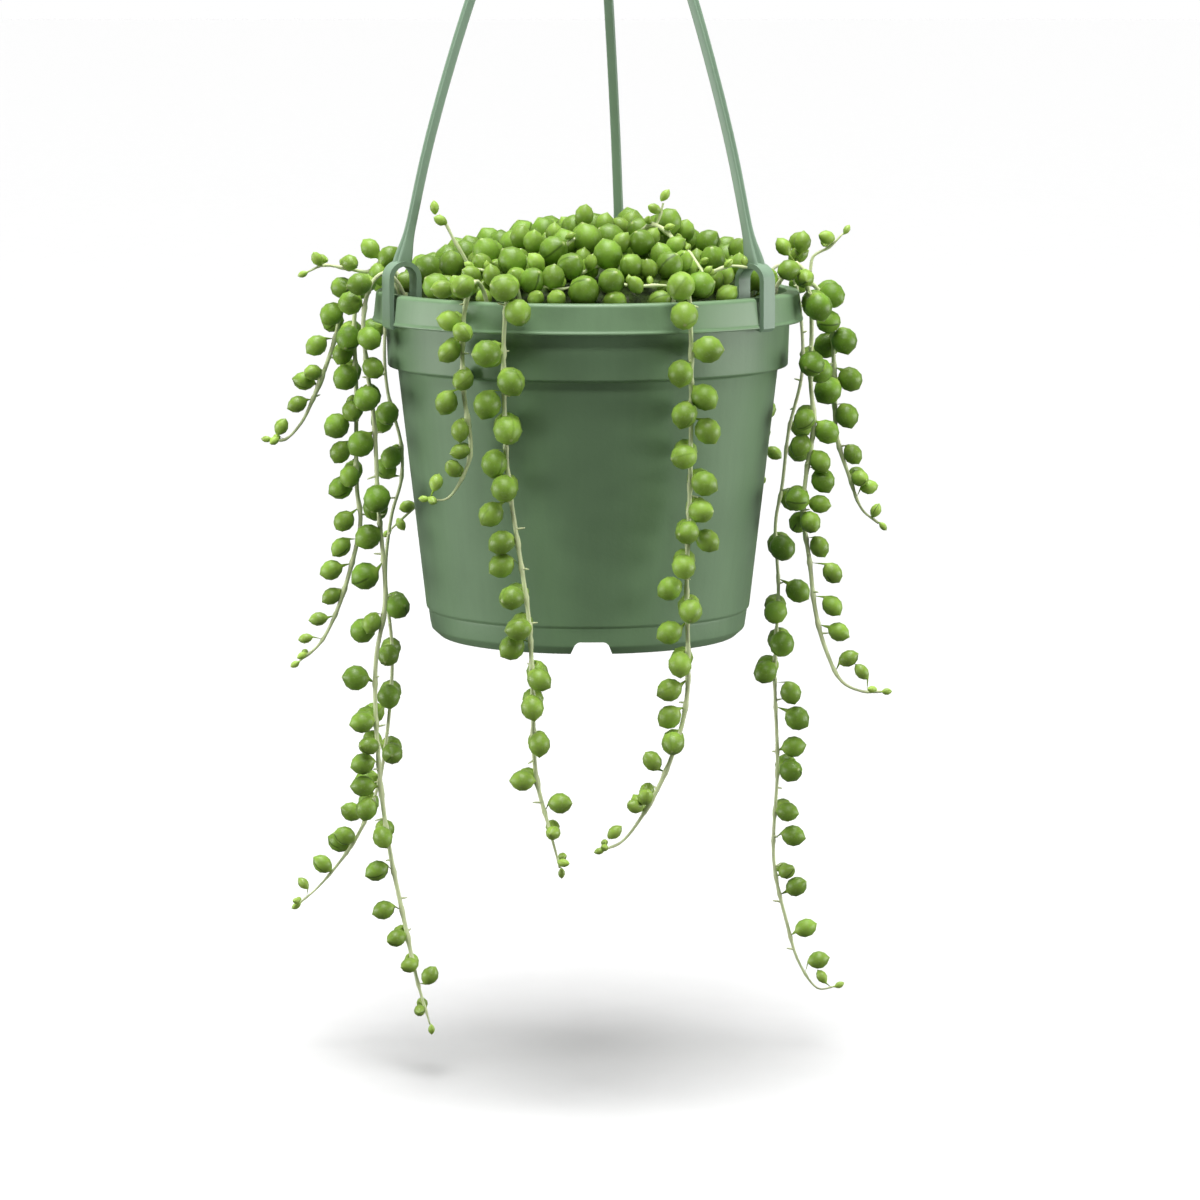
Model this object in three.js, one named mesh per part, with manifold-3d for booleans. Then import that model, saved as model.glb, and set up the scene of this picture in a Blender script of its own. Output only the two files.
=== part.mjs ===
// A potted string of pearls: a hanging plastic pot with its clip-on hanger, the potting mix in it and
// the plant, whose stems trail over the rim. Millimetres, +Z up, the front is -Y, and the origin is
// the inside top of the hook, where the whole thing hangs.
import * as THREE from "three";
import { mergeVertices } from "three/addons/utils/BufferGeometryUtils.js";
import Module from "manifold-3d";

const wasm = await Module();
wasm.setup();

// ---- Driving dimensions ----

const GAP = 0.3; // left between pieces that touch
const SIDES = 32; // facets round the pot and the soil

// Heights are drops below the rim's top or rises above it; RIM_TOP carries them into the object.
const RIM_TOP = -205;
const POT_HEIGHT = 105;
const RIM_RADIUS = 64; // outer edge of the rim's top
const SKIRT_RADIUS = 65; // the turned-down skirt flares to this
const SKIRT_DROP = 9;
const BAND_RADIUS = 61.3; // shoulder band under the skirt
const BAND_DROP = 22.6;
const BODY_RADIUS = 57.6; // the body's top, under the band
const FOOT_LINE_RADIUS = 49; // where the foot band starts
const FOOT_LINE_DROP = 96.3;
const FOOT_RADIUS = 45;
const WALL = 1.2;
const FLOOR_RISE = 5; // underside of the floor above the foot
const DRAIN_RADIUS = 3;
const DRAIN_RING = 26;
const DRAIN_COUNT = 6;
const FOOT_NOTCH = { count: 4, bearing: 1.5, top: 9, bottom: 13, height: 3.8 };

const CLIP_BEARINGS = [-65.5, 54.5, 170.5]; // as in the photo, the back one a little off even
const CLIP_WIDTH = 6;
const CLIP_THICKNESS = 1.5;
const CLIP_OUTER = 65.8; // outer face of a clip's outer leg
const CLIP_SPAN = 10.3; // outer face to outer face, across the rim
const CLIP_TOP = 10.2; // rise of the arch's top
const RIM_NOTCH_WIDTH = 8; // gap in the skirt round each clip
const CATCH = { reach: 1.9, high: 6, low: 7.4 }; // rib that a clip's toe hooks under

const ARM_WIDTH = 2.8;
const ARM_DEPTH = 2.4;
const HUB = { radius: 5.5, low: 165, high: 173 };
const HOOK_RADIUS = 12; // to the middle of its bar
const HOOK_BAR = 2.4; // the bar's radius
const HOOK_SWEEP = 290; // degrees of arc, from the neck round to the open end

const SOIL_DROP = 12;
const ROOT_RING = 56.5; // the stems leave the soil on this ring
const ROOT_DEPTH = 6;
const HOLE_SIZE = 2.6; // side of a stem's hole

const STEM_RADIUS = 0.95;
const PEARL_RADIUS = 4.2; // a full-grown pearl
const SMALL_PEARL = 3.9; // up to this radius a pearl has four sides, over it five
const STEM_STEP = 12.5; // length of one facet of stem

const MOUND_RADIUS = 55.3; // out to the last row of pearl centres
const RIM_ROW = 35; // pearls in that row
const MOUND_TOP = 13.5; // rise of the pearl centres at the middle
const MOUND_EDGE = 2.5; // and at that row
const MOUND_POWER = 3; // how late the mound falls away
const SUMMIT = { x: 10, y: 0, rise: 6.5, spread: 28 };
const CORE_RADIUS = 51.5;
const CORE_DEPTH = 2.6; // the core's surface under the pearl centres
const MOUND_PEARLS = 84; // inside the last row
const LEAST_PEARL = 2.6; // a mound pearl with less room than this is left out

// ---- The trailing stems ----

// bearing: where the stem leaves the soil, in degrees from the front, + towards +X.
// route: [x, y, drop] of the stem outside the rim. leaves: its pearls as they lie in the front view,
// [x, drop, radius] each.
const STRANDS = [
  {
    name: "strand_front_1", bearing: -31,
    route: [
      [-36, -58, 6], [-36, -58, 25], [-34, -58, 43], [-36, -59, 50], [-41, -60, 57], [-46, -61, 57],
    ],
    leaves: [
      [-36, -5, 3.6], [-42, -4, 3], [-40, 5, 3.2], [-36, 8, 3], [-40, 14, 3.3], [-36, 22, 3.2],
      [-41, 29, 3.5], [-37, 37, 2.9], [-37, 43, 2.5], [-39, 48, 2.6], [-44, 52, 2.2], [-45, 57, 1.4],
    ],
  },
  {
    name: "strand_front_2", bearing: -20,
    route: [
      [-24, -64, 7], [-24, -64, 30], [-23, -64, 50], [-20, -64, 71], [-17, -65, 92], [-16, -65, 112],
      [-15, -65, 138], [-11, -66, 154], [-8, -67, 165],
    ],
    leaves: [
      [-24, -5, 4.2], [-20, 2, 4], [-29, 14, 4.2], [-22, 22, 4.2], [-29, 29, 4.2], [-23, 36, 4.3],
      [-27, 46, 4], [-24, 53, 4], [-28, 61, 3.7], [-25, 69, 3.7], [-25, 76, 3.7], [-22, 85, 3.7],
      [-20, 94, 3.6], [-22, 100, 3.7], [-14, 109, 3.5], [-16, 117, 3.5], [-14, 128, 3.3],
      [-19, 139, 3.2], [-8, 146, 3.2], [-10, 154, 2.3], [-7, 163, 1.4],
    ],
  },
  {
    name: "strand_front_3", bearing: 26,
    route: [
      [30, -61, 8], [30, -61, 48], [29, -62, 80], [29, -62, 116], [25, -62, 132], [18, -63, 147],
      [10, -63, 158], [5, -64, 160],
    ],
    leaves: [
      [27, -5, 4.2], [28, 3, 4.2], [35, 13, 4.2], [27, 20, 3.9], [34, 27, 4], [28, 32, 3.8], [35, 37, 3.9],
      [28, 44, 3.8], [34, 52, 3.8], [33, 60, 3.6], [29, 66, 3.6], [35, 69, 3.5], [28, 76, 3.6],
      [24, 83, 3.6], [30, 89, 3.6], [24, 96, 3.6], [27, 105, 3.6], [24, 113, 3.5], [24, 121, 3.5],
      [25, 128, 3.5], [19, 134, 2.9], [17, 144, 2.5], [14, 147, 2.3], [8, 155, 2], [5, 159, 1.2],
    ],
  },
  {
    name: "strand_left_1", bearing: -102,
    route: [
      [-74, 12, 3], [-77, 12, 15], [-80, 12, 24], [-84, 12, 34], [-88, 13, 42], [-93, 13, 47],
      [-97, 13, 47],
    ],
    leaves: [
      [-75, 0, 3.4], [-78, 8, 3.6], [-78, 11, 3.3], [-83, 18, 3.2], [-84, 26, 2.6], [-87, 29, 3],
      [-89, 36, 2.7], [-94, 43, 2.3], [-96, 47, 1.4],
    ],
  },
  {
    name: "strand_left_2", bearing: -87,
    route: [
      [-70, -5, 5], [-70, -5, 30], [-70, -5, 60], [-69, -5, 70], [-72, -5, 84], [-77, -5, 99],
      [-82, -5, 108], [-88, -5, 113],
    ],
    leaves: [
      [-60, -10, 3.3], [-63, -5, 3], [-72, 14, 3.9], [-74, 19, 3.3], [-73, 26, 3.9], [-71, 36, 3.3],
      [-76, 41, 3.9], [-75, 49, 3.3], [-72, 56, 3.3], [-75, 60, 3.6], [-74, 70, 3.2], [-75, 78, 3],
      [-78, 85, 3.2], [-78, 93, 2.7], [-82, 100, 2.3], [-86, 106, 1.7], [-87, 111, 1.2],
    ],
  },
  {
    name: "strand_left_3", bearing: -75,
    route: [
      [-67, -19, 8], [-66, -19, 22], [-64, -19, 38], [-63, -19, 62], [-61, -19, 92], [-64, -19, 112],
      [-63, -20, 145], [-60, -20, 169], [-56, -21, 189], [-52, -22, 208], [-48, -23, 222],
    ],
    leaves: [
      [-68, -3, 3.5], [-71, 3, 3.7], [-65, 13, 3.6], [-64, 22, 3.3], [-66, 31, 3.9], [-68, 45, 4],
      [-63, 61, 4.2], [-64, 65, 3.9], [-66, 73, 3.9], [-67, 85, 4.2], [-65, 99, 3], [-68, 102, 3.9],
      [-70, 116, 3.9], [-68, 129, 3.4], [-66, 136, 3], [-68, 142, 3.4], [-68, 149, 3.4], [-67, 156, 3.4],
      [-62, 164, 3.2], [-64, 175, 3.3], [-62, 187, 3], [-58, 195, 2.8], [-54, 203, 2.5], [-48, 207, 2.7],
      [-51, 217, 1.9],
    ],
  },
  {
    name: "strand_left_4", bearing: -116,
    route: [
      [-62, 30, 7], [-63, 29, 22], [-62, 29, 34], [-58, 29, 50], [-58, 29, 61], [-61, 28, 72],
      [-63, 27, 90], [-61, 26, 116], [-63, 26, 142], [-66, 25, 158], [-73, 24, 174], [-84, 22, 188],
      [-90, 20, 193],
    ],
    leaves: [
      [-62, 40, 3.7], [-64, 43, 3.7], [-61, 54, 3.4], [-63, 58, 3.4], [-59, 100, 3.9], [-62, 115, 3.5],
      [-62, 128, 3.7], [-67, 134, 3.4], [-61, 146, 3.5], [-74, 165, 3.1], [-76, 172, 3.1],
      [-78, 175, 3.4], [-83, 181, 2.9], [-89, 187, 1.7], [-91, 192, 1.1],
    ],
  },
  {
    name: "strand_right_1", bearing: 110,
    route: [
      [65, 23, 6], [66, 23, 27], [62, 23, 45], [60, 22, 62], [58, 22, 74], [59, 22, 94], [58, 22, 120],
      [59, 22, 150], [58, 21, 180], [62, 20, 199], [66, 19, 212], [72, 18, 220], [77, 17, 219],
    ],
    leaves: [
      [60, 81, 4.1], [65, 95, 3.8], [58, 101, 3.7], [60, 111, 4], [55, 120, 3.7], [63, 127, 3.4],
      [65, 135, 3.8], [64, 144, 3.4], [63, 151, 3.7], [62, 164, 3.2], [64, 172, 3.4], [62, 183, 2.5],
      [65, 188, 3.2], [68, 201, 3.1], [72, 211, 2.9], [73, 216, 1.8],
    ],
  },
  {
    name: "strand_right_2", bearing: 77,
    route: [
      [67, -13, 6], [67, -13, 27], [68, -13, 40], [66, -12, 54], [65, -12, 67], [67, -12, 81],
      [69, -12, 97], [72, -12, 108], [77, -13, 118], [83, -13, 121], [89, -14, 121],
    ],
    leaves: [
      [60, -7, 3.3], [65, -4, 3], [69, 4, 4.2], [67, 21, 4], [70, 24, 3.9], [65, 38, 3.3], [72, 42, 3.7],
      [64, 46, 3.3], [70, 51, 3.3], [71, 57, 3.7], [70, 64, 3], [63, 62, 3.7], [67, 69, 3.3],
      [64, 70, 3.3], [70, 77, 3.1], [74, 85, 3.1], [74, 95, 3.1], [76, 103, 3], [79, 111, 2.7],
      [83, 115, 2.2], [86, 120, 1.2],
    ],
  },
  {
    name: "strand_right_3", bearing: 97,
    route: [
      [73, 8, 5], [75, 8, 23], [76, 8, 45], [80, 8, 58], [84, 7, 68], [89, 6, 72],
    ],
    leaves: [
      [64, -10, 2.7], [65, -14, 3.2], [74, 2, 4], [73, 10, 3.7], [78, 16, 4], [73, 18, 4], [80, 28, 3.8],
      [73, 31, 4.3], [79, 39, 3.7], [82, 40, 3.7], [81, 51, 3], [83, 58, 2.7], [86, 61, 2.4],
      [88, 68, 1.8],
    ],
  },
  {
    name: "sprig_left", bearing: -95, crest: 8,
    route: [
      [-73, 4, -6], [-80, 4, -7], [-85, 4, -5],
    ],
    leaves: [
      [-66, -12, 3], [-72, -8, 2.6], [-82, -9, 1.9],
    ],
  },
  {
    name: "sprig_right", bearing: 88, crest: 8,
    route: [
      [68, -2, -10], [73, -2, -13], [77, -2, -17],
    ],
    leaves: [
      [59, -13, 2.5], [72, -16, 2.2],
    ],
  },
];

// Stems behind the pot: plain falls of these lengths, swaying a little by a seeded draw.
const BACK_BEARINGS = [129, 146, -164, -150, -133];
const BACK_LENGTHS = [58, 78, 70, 48, 74];
const BACK_RING = 69;
const BACK_SWAY = 2.5;
const BACK_STEP = 7.8; // of stem between two pearls

// Sprigs that stand up out of the mound: [x, y, rise] along each stem, fused into the mound.
const SPRIGS = [
  [[-34, -24, 6], [-40, -25, 17], [-44, -25, 24]],
  [[15, -20, 12], [20, -20, 20], [22, -20, 25]],
];

// The mound's pearls that face the front, [x, y, rise, radius] each.
const CROWN_FRONT = [
  [8, -55, 0, 3.5], [21, -51, 0, 4.3], [-9, -56, 1, 2.8], [-15, -55, 1, 2.5], [41, -39, 1, 3],
  [-31, -48, 2, 2.8], [-1, -54, 3, 4.6], [27, -48, 4, 4.1], [33, -44, 4, 4.3], [-25, -50, 4, 4.3],
  [14, -54, 5, 2.4], [-16, -52, 6, 3.8], [7, -54, 6, 3.8], [-10, -52, 7, 3.5], [-34, -42, 7, 2.8],
  [-28, -44, 7, 2.8], [24, -44, 10, 4], [18, -46, 9, 2.8], [45, -22, 9, 2.8], [-31, -37, 10, 3],
  [-5, -48, 10, 3.9], [13, -46, 10, 3.8], [28, -39, 11, 3], [-15, -44, 11, 2.5], [37, -30, 11, 3.8],
  [1, -46, 11, 2], [-22, -40, 11, 4.2], [6, -42, 13, 4.3], [-30, -28, 13, 4.1], [-10, -36, 14, 4.1],
  [45, -12, 13, 3], [26, -30, 15, 2.8], [36, -12, 15, 3.6], [16, -32, 16, 3.8], [10, -33, 16, 2.8],
  [-16, -28, 16, 3.1], [-20, -20, 17, 3.1], [0, -30, 17, 4.2], [19, -24, 17, 2.6], [-10, -20, 18, 2.6],
  [29, -8, 18, 3.2], [-6, -3, 19, 2.9], [5, -8, 20, 3], [13, 2, 20, 3.1], [24, -13, 21, 4],
  [-1, -14, 23, 2.9],
];

const SAGE = new THREE.Color(0x7e9f78);
const LEAF = new THREE.Color(0x6f9440);
const YOUNG_LEAF = new THREE.Color(0x8aad52);
const OLD_LEAF = new THREE.Color(0x5d8233);
const PEAT = new THREE.Color(0x2c2119);

// ---- Small helpers ----

const UP = new THREE.Vector3(0, 0, 1);
const radians = THREE.MathUtils.degToRad;

// A point at a distance from the axis, on a bearing from the front, at a rise above the rim's top.
function polar(radius, bearing, rise) {
  const angle = radians(bearing);
  return new THREE.Vector3(radius * Math.sin(angle), -radius * Math.cos(angle), RIM_TOP + rise);
}

// The same draws each time for one seed, from 0 up to 1.
function seeded(seed) {
  let state = seed;
  return () => {
    state = (Math.imul(state, 1664525) + 1013904223) >>> 0;
    return state / 4294967296;
  };
}

// A geometry as a solid: its vertices merged and the faces that come to nothing at a pole dropped.
function solid(geometry) {
  geometry.deleteAttribute("normal");
  geometry.deleteAttribute("uv");
  const merged = mergeVertices(geometry, 1e-4);
  const index = merged.index.array;
  const faces = [];
  for (let i = 0; i < index.length; i += 3) {
    const [a, b, c] = [index[i], index[i + 1], index[i + 2]];
    if (a !== b && b !== c && c !== a) faces.push(a, b, c);
  }
  const made = new wasm.Manifold(
    new wasm.Mesh({
      numProp: 3,
      vertProperties: merged.attributes.position.array,
      triVerts: new Uint32Array(faces),
    }),
  );
  if (made.volume() <= 0) throw new Error("a solid is inside out");
  return made;
}

function meshOf(name, shape, color, roughness) {
  const data = shape.getMesh();
  const geometry = new THREE.BufferGeometry();
  geometry.setAttribute("position", new THREE.BufferAttribute(data.vertProperties, 3));
  geometry.setIndex(new THREE.BufferAttribute(data.triVerts, 1));
  geometry.computeVertexNormals();
  const mesh = new THREE.Mesh(geometry, new THREE.MeshStandardMaterial({ color, roughness, metalness: 0 }));
  mesh.name = name;
  return mesh;
}

// A solid turned about Z from a profile of [radius, rise] pairs, from the bottom of the axis, round
// the outside, to the top of it.
function turned(profile, sides) {
  const points = profile.map(([radius, rise]) => new THREE.Vector2(radius, RIM_TOP + rise));
  return solid(new THREE.LatheGeometry(points, sides).rotateX(Math.PI / 2));
}

// A flat outline of [x, z] pairs, made thick along Y about the middle, then turned to a bearing.
// On bearing 90 its x runs along +X.
function plate(outline, thickness, bearing) {
  const shape = new THREE.Shape(outline.map(([x, z]) => new THREE.Vector2(x, z)));
  const geometry = new THREE.ExtrudeGeometry(shape, { depth: thickness, bevelEnabled: false });
  geometry.translate(0, 0, -thickness / 2).rotateX(Math.PI / 2);
  return solid(geometry.rotateZ(radians(bearing - 90)).translate(0, 0, RIM_TOP));
}

function swept(section, curve, steps) {
  const shape = new THREE.Shape(section.map(([x, y]) => new THREE.Vector2(x, y)));
  return new THREE.ExtrudeGeometry(shape, { steps, extrudePath: curve, bevelEnabled: false });
}

// The corners of a regular polygon.
function round(radius, sides) {
  return Array.from({ length: sides }, (_, i) => {
    const angle = (2 * Math.PI * i) / sides;
    return [radius * Math.cos(angle), radius * Math.sin(angle)];
  });
}

// ---- The pot ----

const POT_OUTSIDE = [
  [FOOT_RADIUS - 2, -POT_HEIGHT],
  [FOOT_RADIUS, -POT_HEIGHT],
  [FOOT_RADIUS + 2.8, -POT_HEIGHT + 2.5],
  [FOOT_LINE_RADIUS - 0.3, -FOOT_LINE_DROP - 1],
  [FOOT_LINE_RADIUS, -FOOT_LINE_DROP],
  [BODY_RADIUS, -BAND_DROP - 0.7],
  [BAND_RADIUS - 0.7, -BAND_DROP],
  [BAND_RADIUS, -WALL],
  [RIM_RADIUS - WALL, -WALL],
  [SKIRT_RADIUS - WALL, -SKIRT_DROP],
  [SKIRT_RADIUS, -SKIRT_DROP],
  [RIM_RADIUS, -0.6],
  [RIM_RADIUS - 0.6, 0],
];
const POT_INSIDE = [
  [BAND_RADIUS - WALL, 0],
  [BAND_RADIUS - WALL - 0.7, -BAND_DROP + 0.5],
  [BODY_RADIUS - WALL - 0.3, -BAND_DROP - 1.9],
  [FOOT_RADIUS + 1.2, -POT_HEIGHT + FLOOR_RISE + WALL],
];

function pot() {
  const floor = -POT_HEIGHT + FLOOR_RISE;
  const profile = [[0, floor], [FOOT_RADIUS - 2.3, floor], ...POT_OUTSIDE, ...POT_INSIDE, [0, floor + WALL]];
  let shape = turned(profile, SIDES);
  for (const bearing of CLIP_BEARINGS) shape = shape.subtract(rimNotch(bearing)).add(catchRib(bearing));
  for (let i = 0; i < DRAIN_COUNT; i++) shape = shape.subtract(drainHole((360 * (i + 0.5)) / DRAIN_COUNT));
  for (let i = 0; i < FOOT_NOTCH.count; i++) {
    shape = shape.subtract(footNotch(FOOT_NOTCH.bearing + (360 * i) / FOOT_NOTCH.count));
  }
  return shape;
}

function rimNotch(bearing) {
  const inner = BAND_RADIUS + 0.9;
  const [outer, low] = [SKIRT_RADIUS + 2, -SKIRT_DROP - 1];
  return plate([[inner, low], [outer, low], [outer, 1], [inner, 1]], RIM_NOTCH_WIDTH, bearing);
}

function catchRib(bearing) {
  const inner = BAND_RADIUS - WALL / 2;
  const outer = BAND_RADIUS + CATCH.reach;
  const low = -CATCH.low;
  const outline = [[inner, low], [outer, low], [outer, low + 0.7], [inner, -CATCH.high]];
  return plate(outline, CLIP_WIDTH - 1, bearing);
}

function drainHole(bearing) {
  const spot = polar(DRAIN_RING, bearing, -POT_HEIGHT + FLOOR_RISE + WALL / 2);
  const cutter = new THREE.CylinderGeometry(DRAIN_RADIUS, DRAIN_RADIUS, 4 * WALL, 8);
  return solid(cutter.rotateX(Math.PI / 2).translate(spot.x, spot.y, spot.z));
}

// A slot through the foot ring with sloped sides, wider at the bottom.
function footNotch(bearing) {
  const low = -POT_HEIGHT - 1;
  const high = -POT_HEIGHT + FOOT_NOTCH.height;
  const [t, b] = [FOOT_NOTCH.top / 2, FOOT_NOTCH.bottom / 2];
  const outline = [[-b, low], [b, low], [t, high], [-t, high]].map(([x, z]) => new THREE.Vector2(x, z));
  const geometry = new THREE.ExtrudeGeometry(new THREE.Shape(outline), { depth: 12, bevelEnabled: false });
  geometry.rotateX(Math.PI / 2).translate(0, -FOOT_RADIUS + 7, RIM_TOP);
  return solid(geometry.rotateZ(radians(bearing)));
}

// ---- The hanger ----

// The middle line of an arm, [radius, rise], from the clip's arch up to the hub: bowed outwards.
const ARM_LINE = [
  [60.6, CLIP_TOP - 1], [57.8, 20], [52.5, 42], [46, 64], [37.8, 88], [27, 115], [15.5, 141], [3, 167],
];

function hanger() {
  const parts = CLIP_BEARINGS.flatMap((bearing) => [clip(bearing), arm(bearing), armFoot(bearing)]);
  return wasm.Manifold.union([...parts, hub(), hook()]);
}

// A strap bent over the rim: an arch, an outer leg with a toe under the catch rib, and an inner leg
// that leans out to the pot's wall.
function clip(bearing) {
  const inner = CLIP_OUTER - CLIP_SPAN;
  const middle = CLIP_OUTER - CLIP_SPAN / 2;
  const spring = CLIP_TOP - CLIP_SPAN / 2; // rise where the arch starts
  const arc = (radius, from, to) =>
    [0, 1, 2, 3, 4].map((i) => {
      const angle = radians(from + ((to - from) * i) / 4);
      return [middle + radius * Math.cos(angle), spring + radius * Math.sin(angle)];
    });
  const toe = BAND_RADIUS + 0.5;
  const wall = BAND_RADIUS - WALL - 3 * GAP;
  const outline = [
    [toe, -CATCH.low - GAP], [toe, -CATCH.low - GAP - 1.2], [CLIP_OUTER - 1, -SKIRT_DROP - 1],
    [CLIP_OUTER, -SKIRT_DROP],
    ...arc(CLIP_SPAN / 2, 0, 180),
    [inner, -1], [wall - CLIP_THICKNESS, -8], [wall, -8.5],
    [inner + CLIP_THICKNESS, -1.4],
    ...arc(CLIP_SPAN / 2 - CLIP_THICKNESS, 180, 0),
    [CLIP_OUTER - CLIP_THICKNESS, -CATCH.low - GAP],
  ];
  return plate(outline, CLIP_WIDTH, bearing);
}

// One arm in the plane of its bearing, with a groove down its outer face.
function arm(bearing) {
  const [w, d] = [ARM_WIDTH / 2, ARM_DEPTH / 2];
  const curve = new THREE.CatmullRomCurve3(ARM_LINE.map(([r, z]) => new THREE.Vector3(r, 0, z)));
  const section = [[-w, -d], [w, -d], [w, d], [0, d / 2], [-w, d]];
  const geometry = swept(section, curve, 8);
  return solid(geometry.rotateZ(radians(bearing - 90)).translate(0, 0, RIM_TOP));
}

// The flared root where an arm grows out of its clip's arch.
function armFoot(bearing) {
  const top = polar(58.9, bearing, CLIP_TOP + 5.5);
  const foot = new THREE.CylinderGeometry(ARM_WIDTH / 2, CLIP_WIDTH * 0.42, 7, 6);
  return solid(foot.rotateX(Math.PI / 2).rotateZ(radians(bearing)).translate(top.x, top.y, top.z - 2.7));
}

function hub() {
  const { radius, low, high } = HUB;
  const side = [[radius - 1, low], [radius, low + 1.5], [radius - 1, high - 2], [HOOK_BAR + 0.4, high]];
  return turned([[0, low], ...side, [0, high]], 8);
}

// A round bar: up the neck, then round the hook's arc in the X-Z plane to its open end.
function hook() {
  const middle = HOOK_BAR - HOOK_RADIUS;
  const points = [new THREE.Vector3(0, 0, RIM_TOP + HUB.high - 3)];
  const turns = 10;
  for (let i = 0; i <= turns; i++) {
    const angle = radians(-90 + (HOOK_SWEEP * i) / turns);
    points.push(new THREE.Vector3(HOOK_RADIUS * Math.cos(angle), 0, middle + HOOK_RADIUS * Math.sin(angle)));
  }
  return solid(swept(round(HOOK_BAR, 6), new THREE.CatmullRomCurve3(points), 16));
}

// ---- What pearls keep clear of ----

// Each is a ball or a rounded rod: from a to b, with a radius, and the node that it belongs to.
const placed = [];

function keepClear(owner, points, radius) {
  for (let i = 1; i < points.length; i++) placed.push({ owner, a: points[i - 1], b: points[i], radius });
}

function distanceTo(point, { a, b }) {
  const along = b.clone().sub(a);
  const t = THREE.MathUtils.clamp(point.clone().sub(a).dot(along) / Math.max(along.lengthSq(), 1e-9), 0, 1);
  return point.distanceTo(along.multiplyScalar(t).add(a));
}

// The distance from a point to the pot, measured in the plane of its profile.
const POT_WALL = [...POT_OUTSIDE, ...POT_INSIDE].map(([r, z]) => new THREE.Vector3(r, 0, RIM_TOP + z));
function potDistance(point) {
  const flat = new THREE.Vector3(Math.hypot(point.x, point.y), 0, point.z);
  let least = Infinity;
  for (let i = 1; i < POT_WALL.length; i++) {
    least = Math.min(least, distanceTo(flat, { a: POT_WALL[i - 1], b: POT_WALL[i] }));
  }
  return least;
}

// The largest ball at a point that stays clear of the pot and of all that is placed, its own stem
// apart.
function room(point, owner) {
  let least = potDistance(point) - GAP;
  for (const thing of placed) {
    if (thing.owner === owner && thing.stem) continue;
    const gap = thing.owner === owner ? 0.1 : GAP;
    least = Math.min(least, distanceTo(point, thing) - thing.radius - gap);
  }
  return least;
}

// ---- Pearls and stems ----

// A pearl: its base is drawn out to a stalk that starts at a point, and its tip is slightly drawn out.
function pearl(from, towards, radius, stretch, reach) {
  const wide = radius * 1.06;
  const long = radius * stretch;
  const profile = [[0, -reach], [wide, -0.45 * long], [wide, 0.45 * long], [0, 1.16 * long]];
  const sides = radius > SMALL_PEARL ? 5 : 4;
  const geometry = new THREE.LatheGeometry(profile.map(([r, y]) => new THREE.Vector2(r, y)), sides);
  geometry.translate(0, reach, 0);
  geometry.applyQuaternion(new THREE.Quaternion().setFromUnitVectors(new THREE.Vector3(0, 1, 0), towards));
  return solid(geometry.translate(from.x, from.y, from.z));
}

const SIDE_ANGLES = { R: 0, B: 90, L: 180 };

// The way a pearl grows from its node: its letter's side, turned and dipped a little by two draws.
function growth(letter, turn, dip) {
  if (letter === "U") return new THREE.Vector3(0.6 * turn, 0.6 * dip - 0.2, 1).normalize();
  const angle = radians(SIDE_ANGLES[letter] + 22 * turn);
  return new THREE.Vector3(Math.cos(angle), Math.sin(angle), -0.15 + 0.3 * dip).normalize();
}

// Pearls shrink slowly down the stem and fast at its tip: t runs from 0 to 1.
function taper(t) {
  return 1 - 0.18 * t - 0.45 * t ** 6;
}

function stemCurve({ bearing, crest = 6, route }) {
  const points = [
    polar(ROOT_RING, bearing, -SOIL_DROP - ROOT_DEPTH),
    polar(ROOT_RING, bearing, -SOIL_DROP + 2),
    polar(ROOT_RING + 1.2, bearing, crest - 5),
    polar(62.5, bearing, crest),
    polar(66.8, bearing, crest - 3),
    ...route.map(([x, y, drop]) => new THREE.Vector3(x, y, RIM_TOP - drop)),
  ];
  return new THREE.CatmullRomCurve3(points);
}

const FIRST_NODE = 26; // length of stem up to the first pearl
const RIM_NODE = 32; // and up to the first one that hangs outside the rim

// The point at a share of the way along a stem's facets.
function pointOn(points, share) {
  const place = share * (points.length - 1);
  const i = Math.min(Math.floor(place), points.length - 2);
  return points[i].clone().lerp(points[i + 1], place - i);
}

function reaching(from, centre) {
  const way = centre.clone().sub(from);
  return { from, reach: way.length(), towards: way.normalize() };
}

// The measured pearls of one stem, each {from, towards, radius, stretch}. Each grows from the stem's
// nearest point in the front view, a little above it, and lies in front of it or behind by what is
// left of its reach. Those under the rim's top grow outside the rim.
function measuredPearls(strand) {
  const spots = Array.from({ length: 400 }, (_, i) => pointOn(strand.facets, i / 399));
  const after = (node) => spots.slice(Math.round((400 * node) / strand.curve.getLength()));
  return strand.leaves.flatMap(([x, drop, radius]) => {
    const centre = new THREE.Vector3(x, 0, RIM_TOP - drop);
    const away = (spot, rise) => Math.hypot(centre.x - spot.x, centre.z + rise - spot.z);
    const nearer = (a, b) => (away(b, 0.35 * radius) < away(a, 0.35 * radius) ? b : a);
    const from = after(drop > 0 ? RIM_NODE : FIRST_NODE).reduce(nearer);
    const aside = Math.sqrt(Math.max((radius + 1.6) ** 2 - away(from, 0) ** 2, 0));
    return placedPearl(strand.name, from, centre, aside, radius);
  });
}

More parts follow.
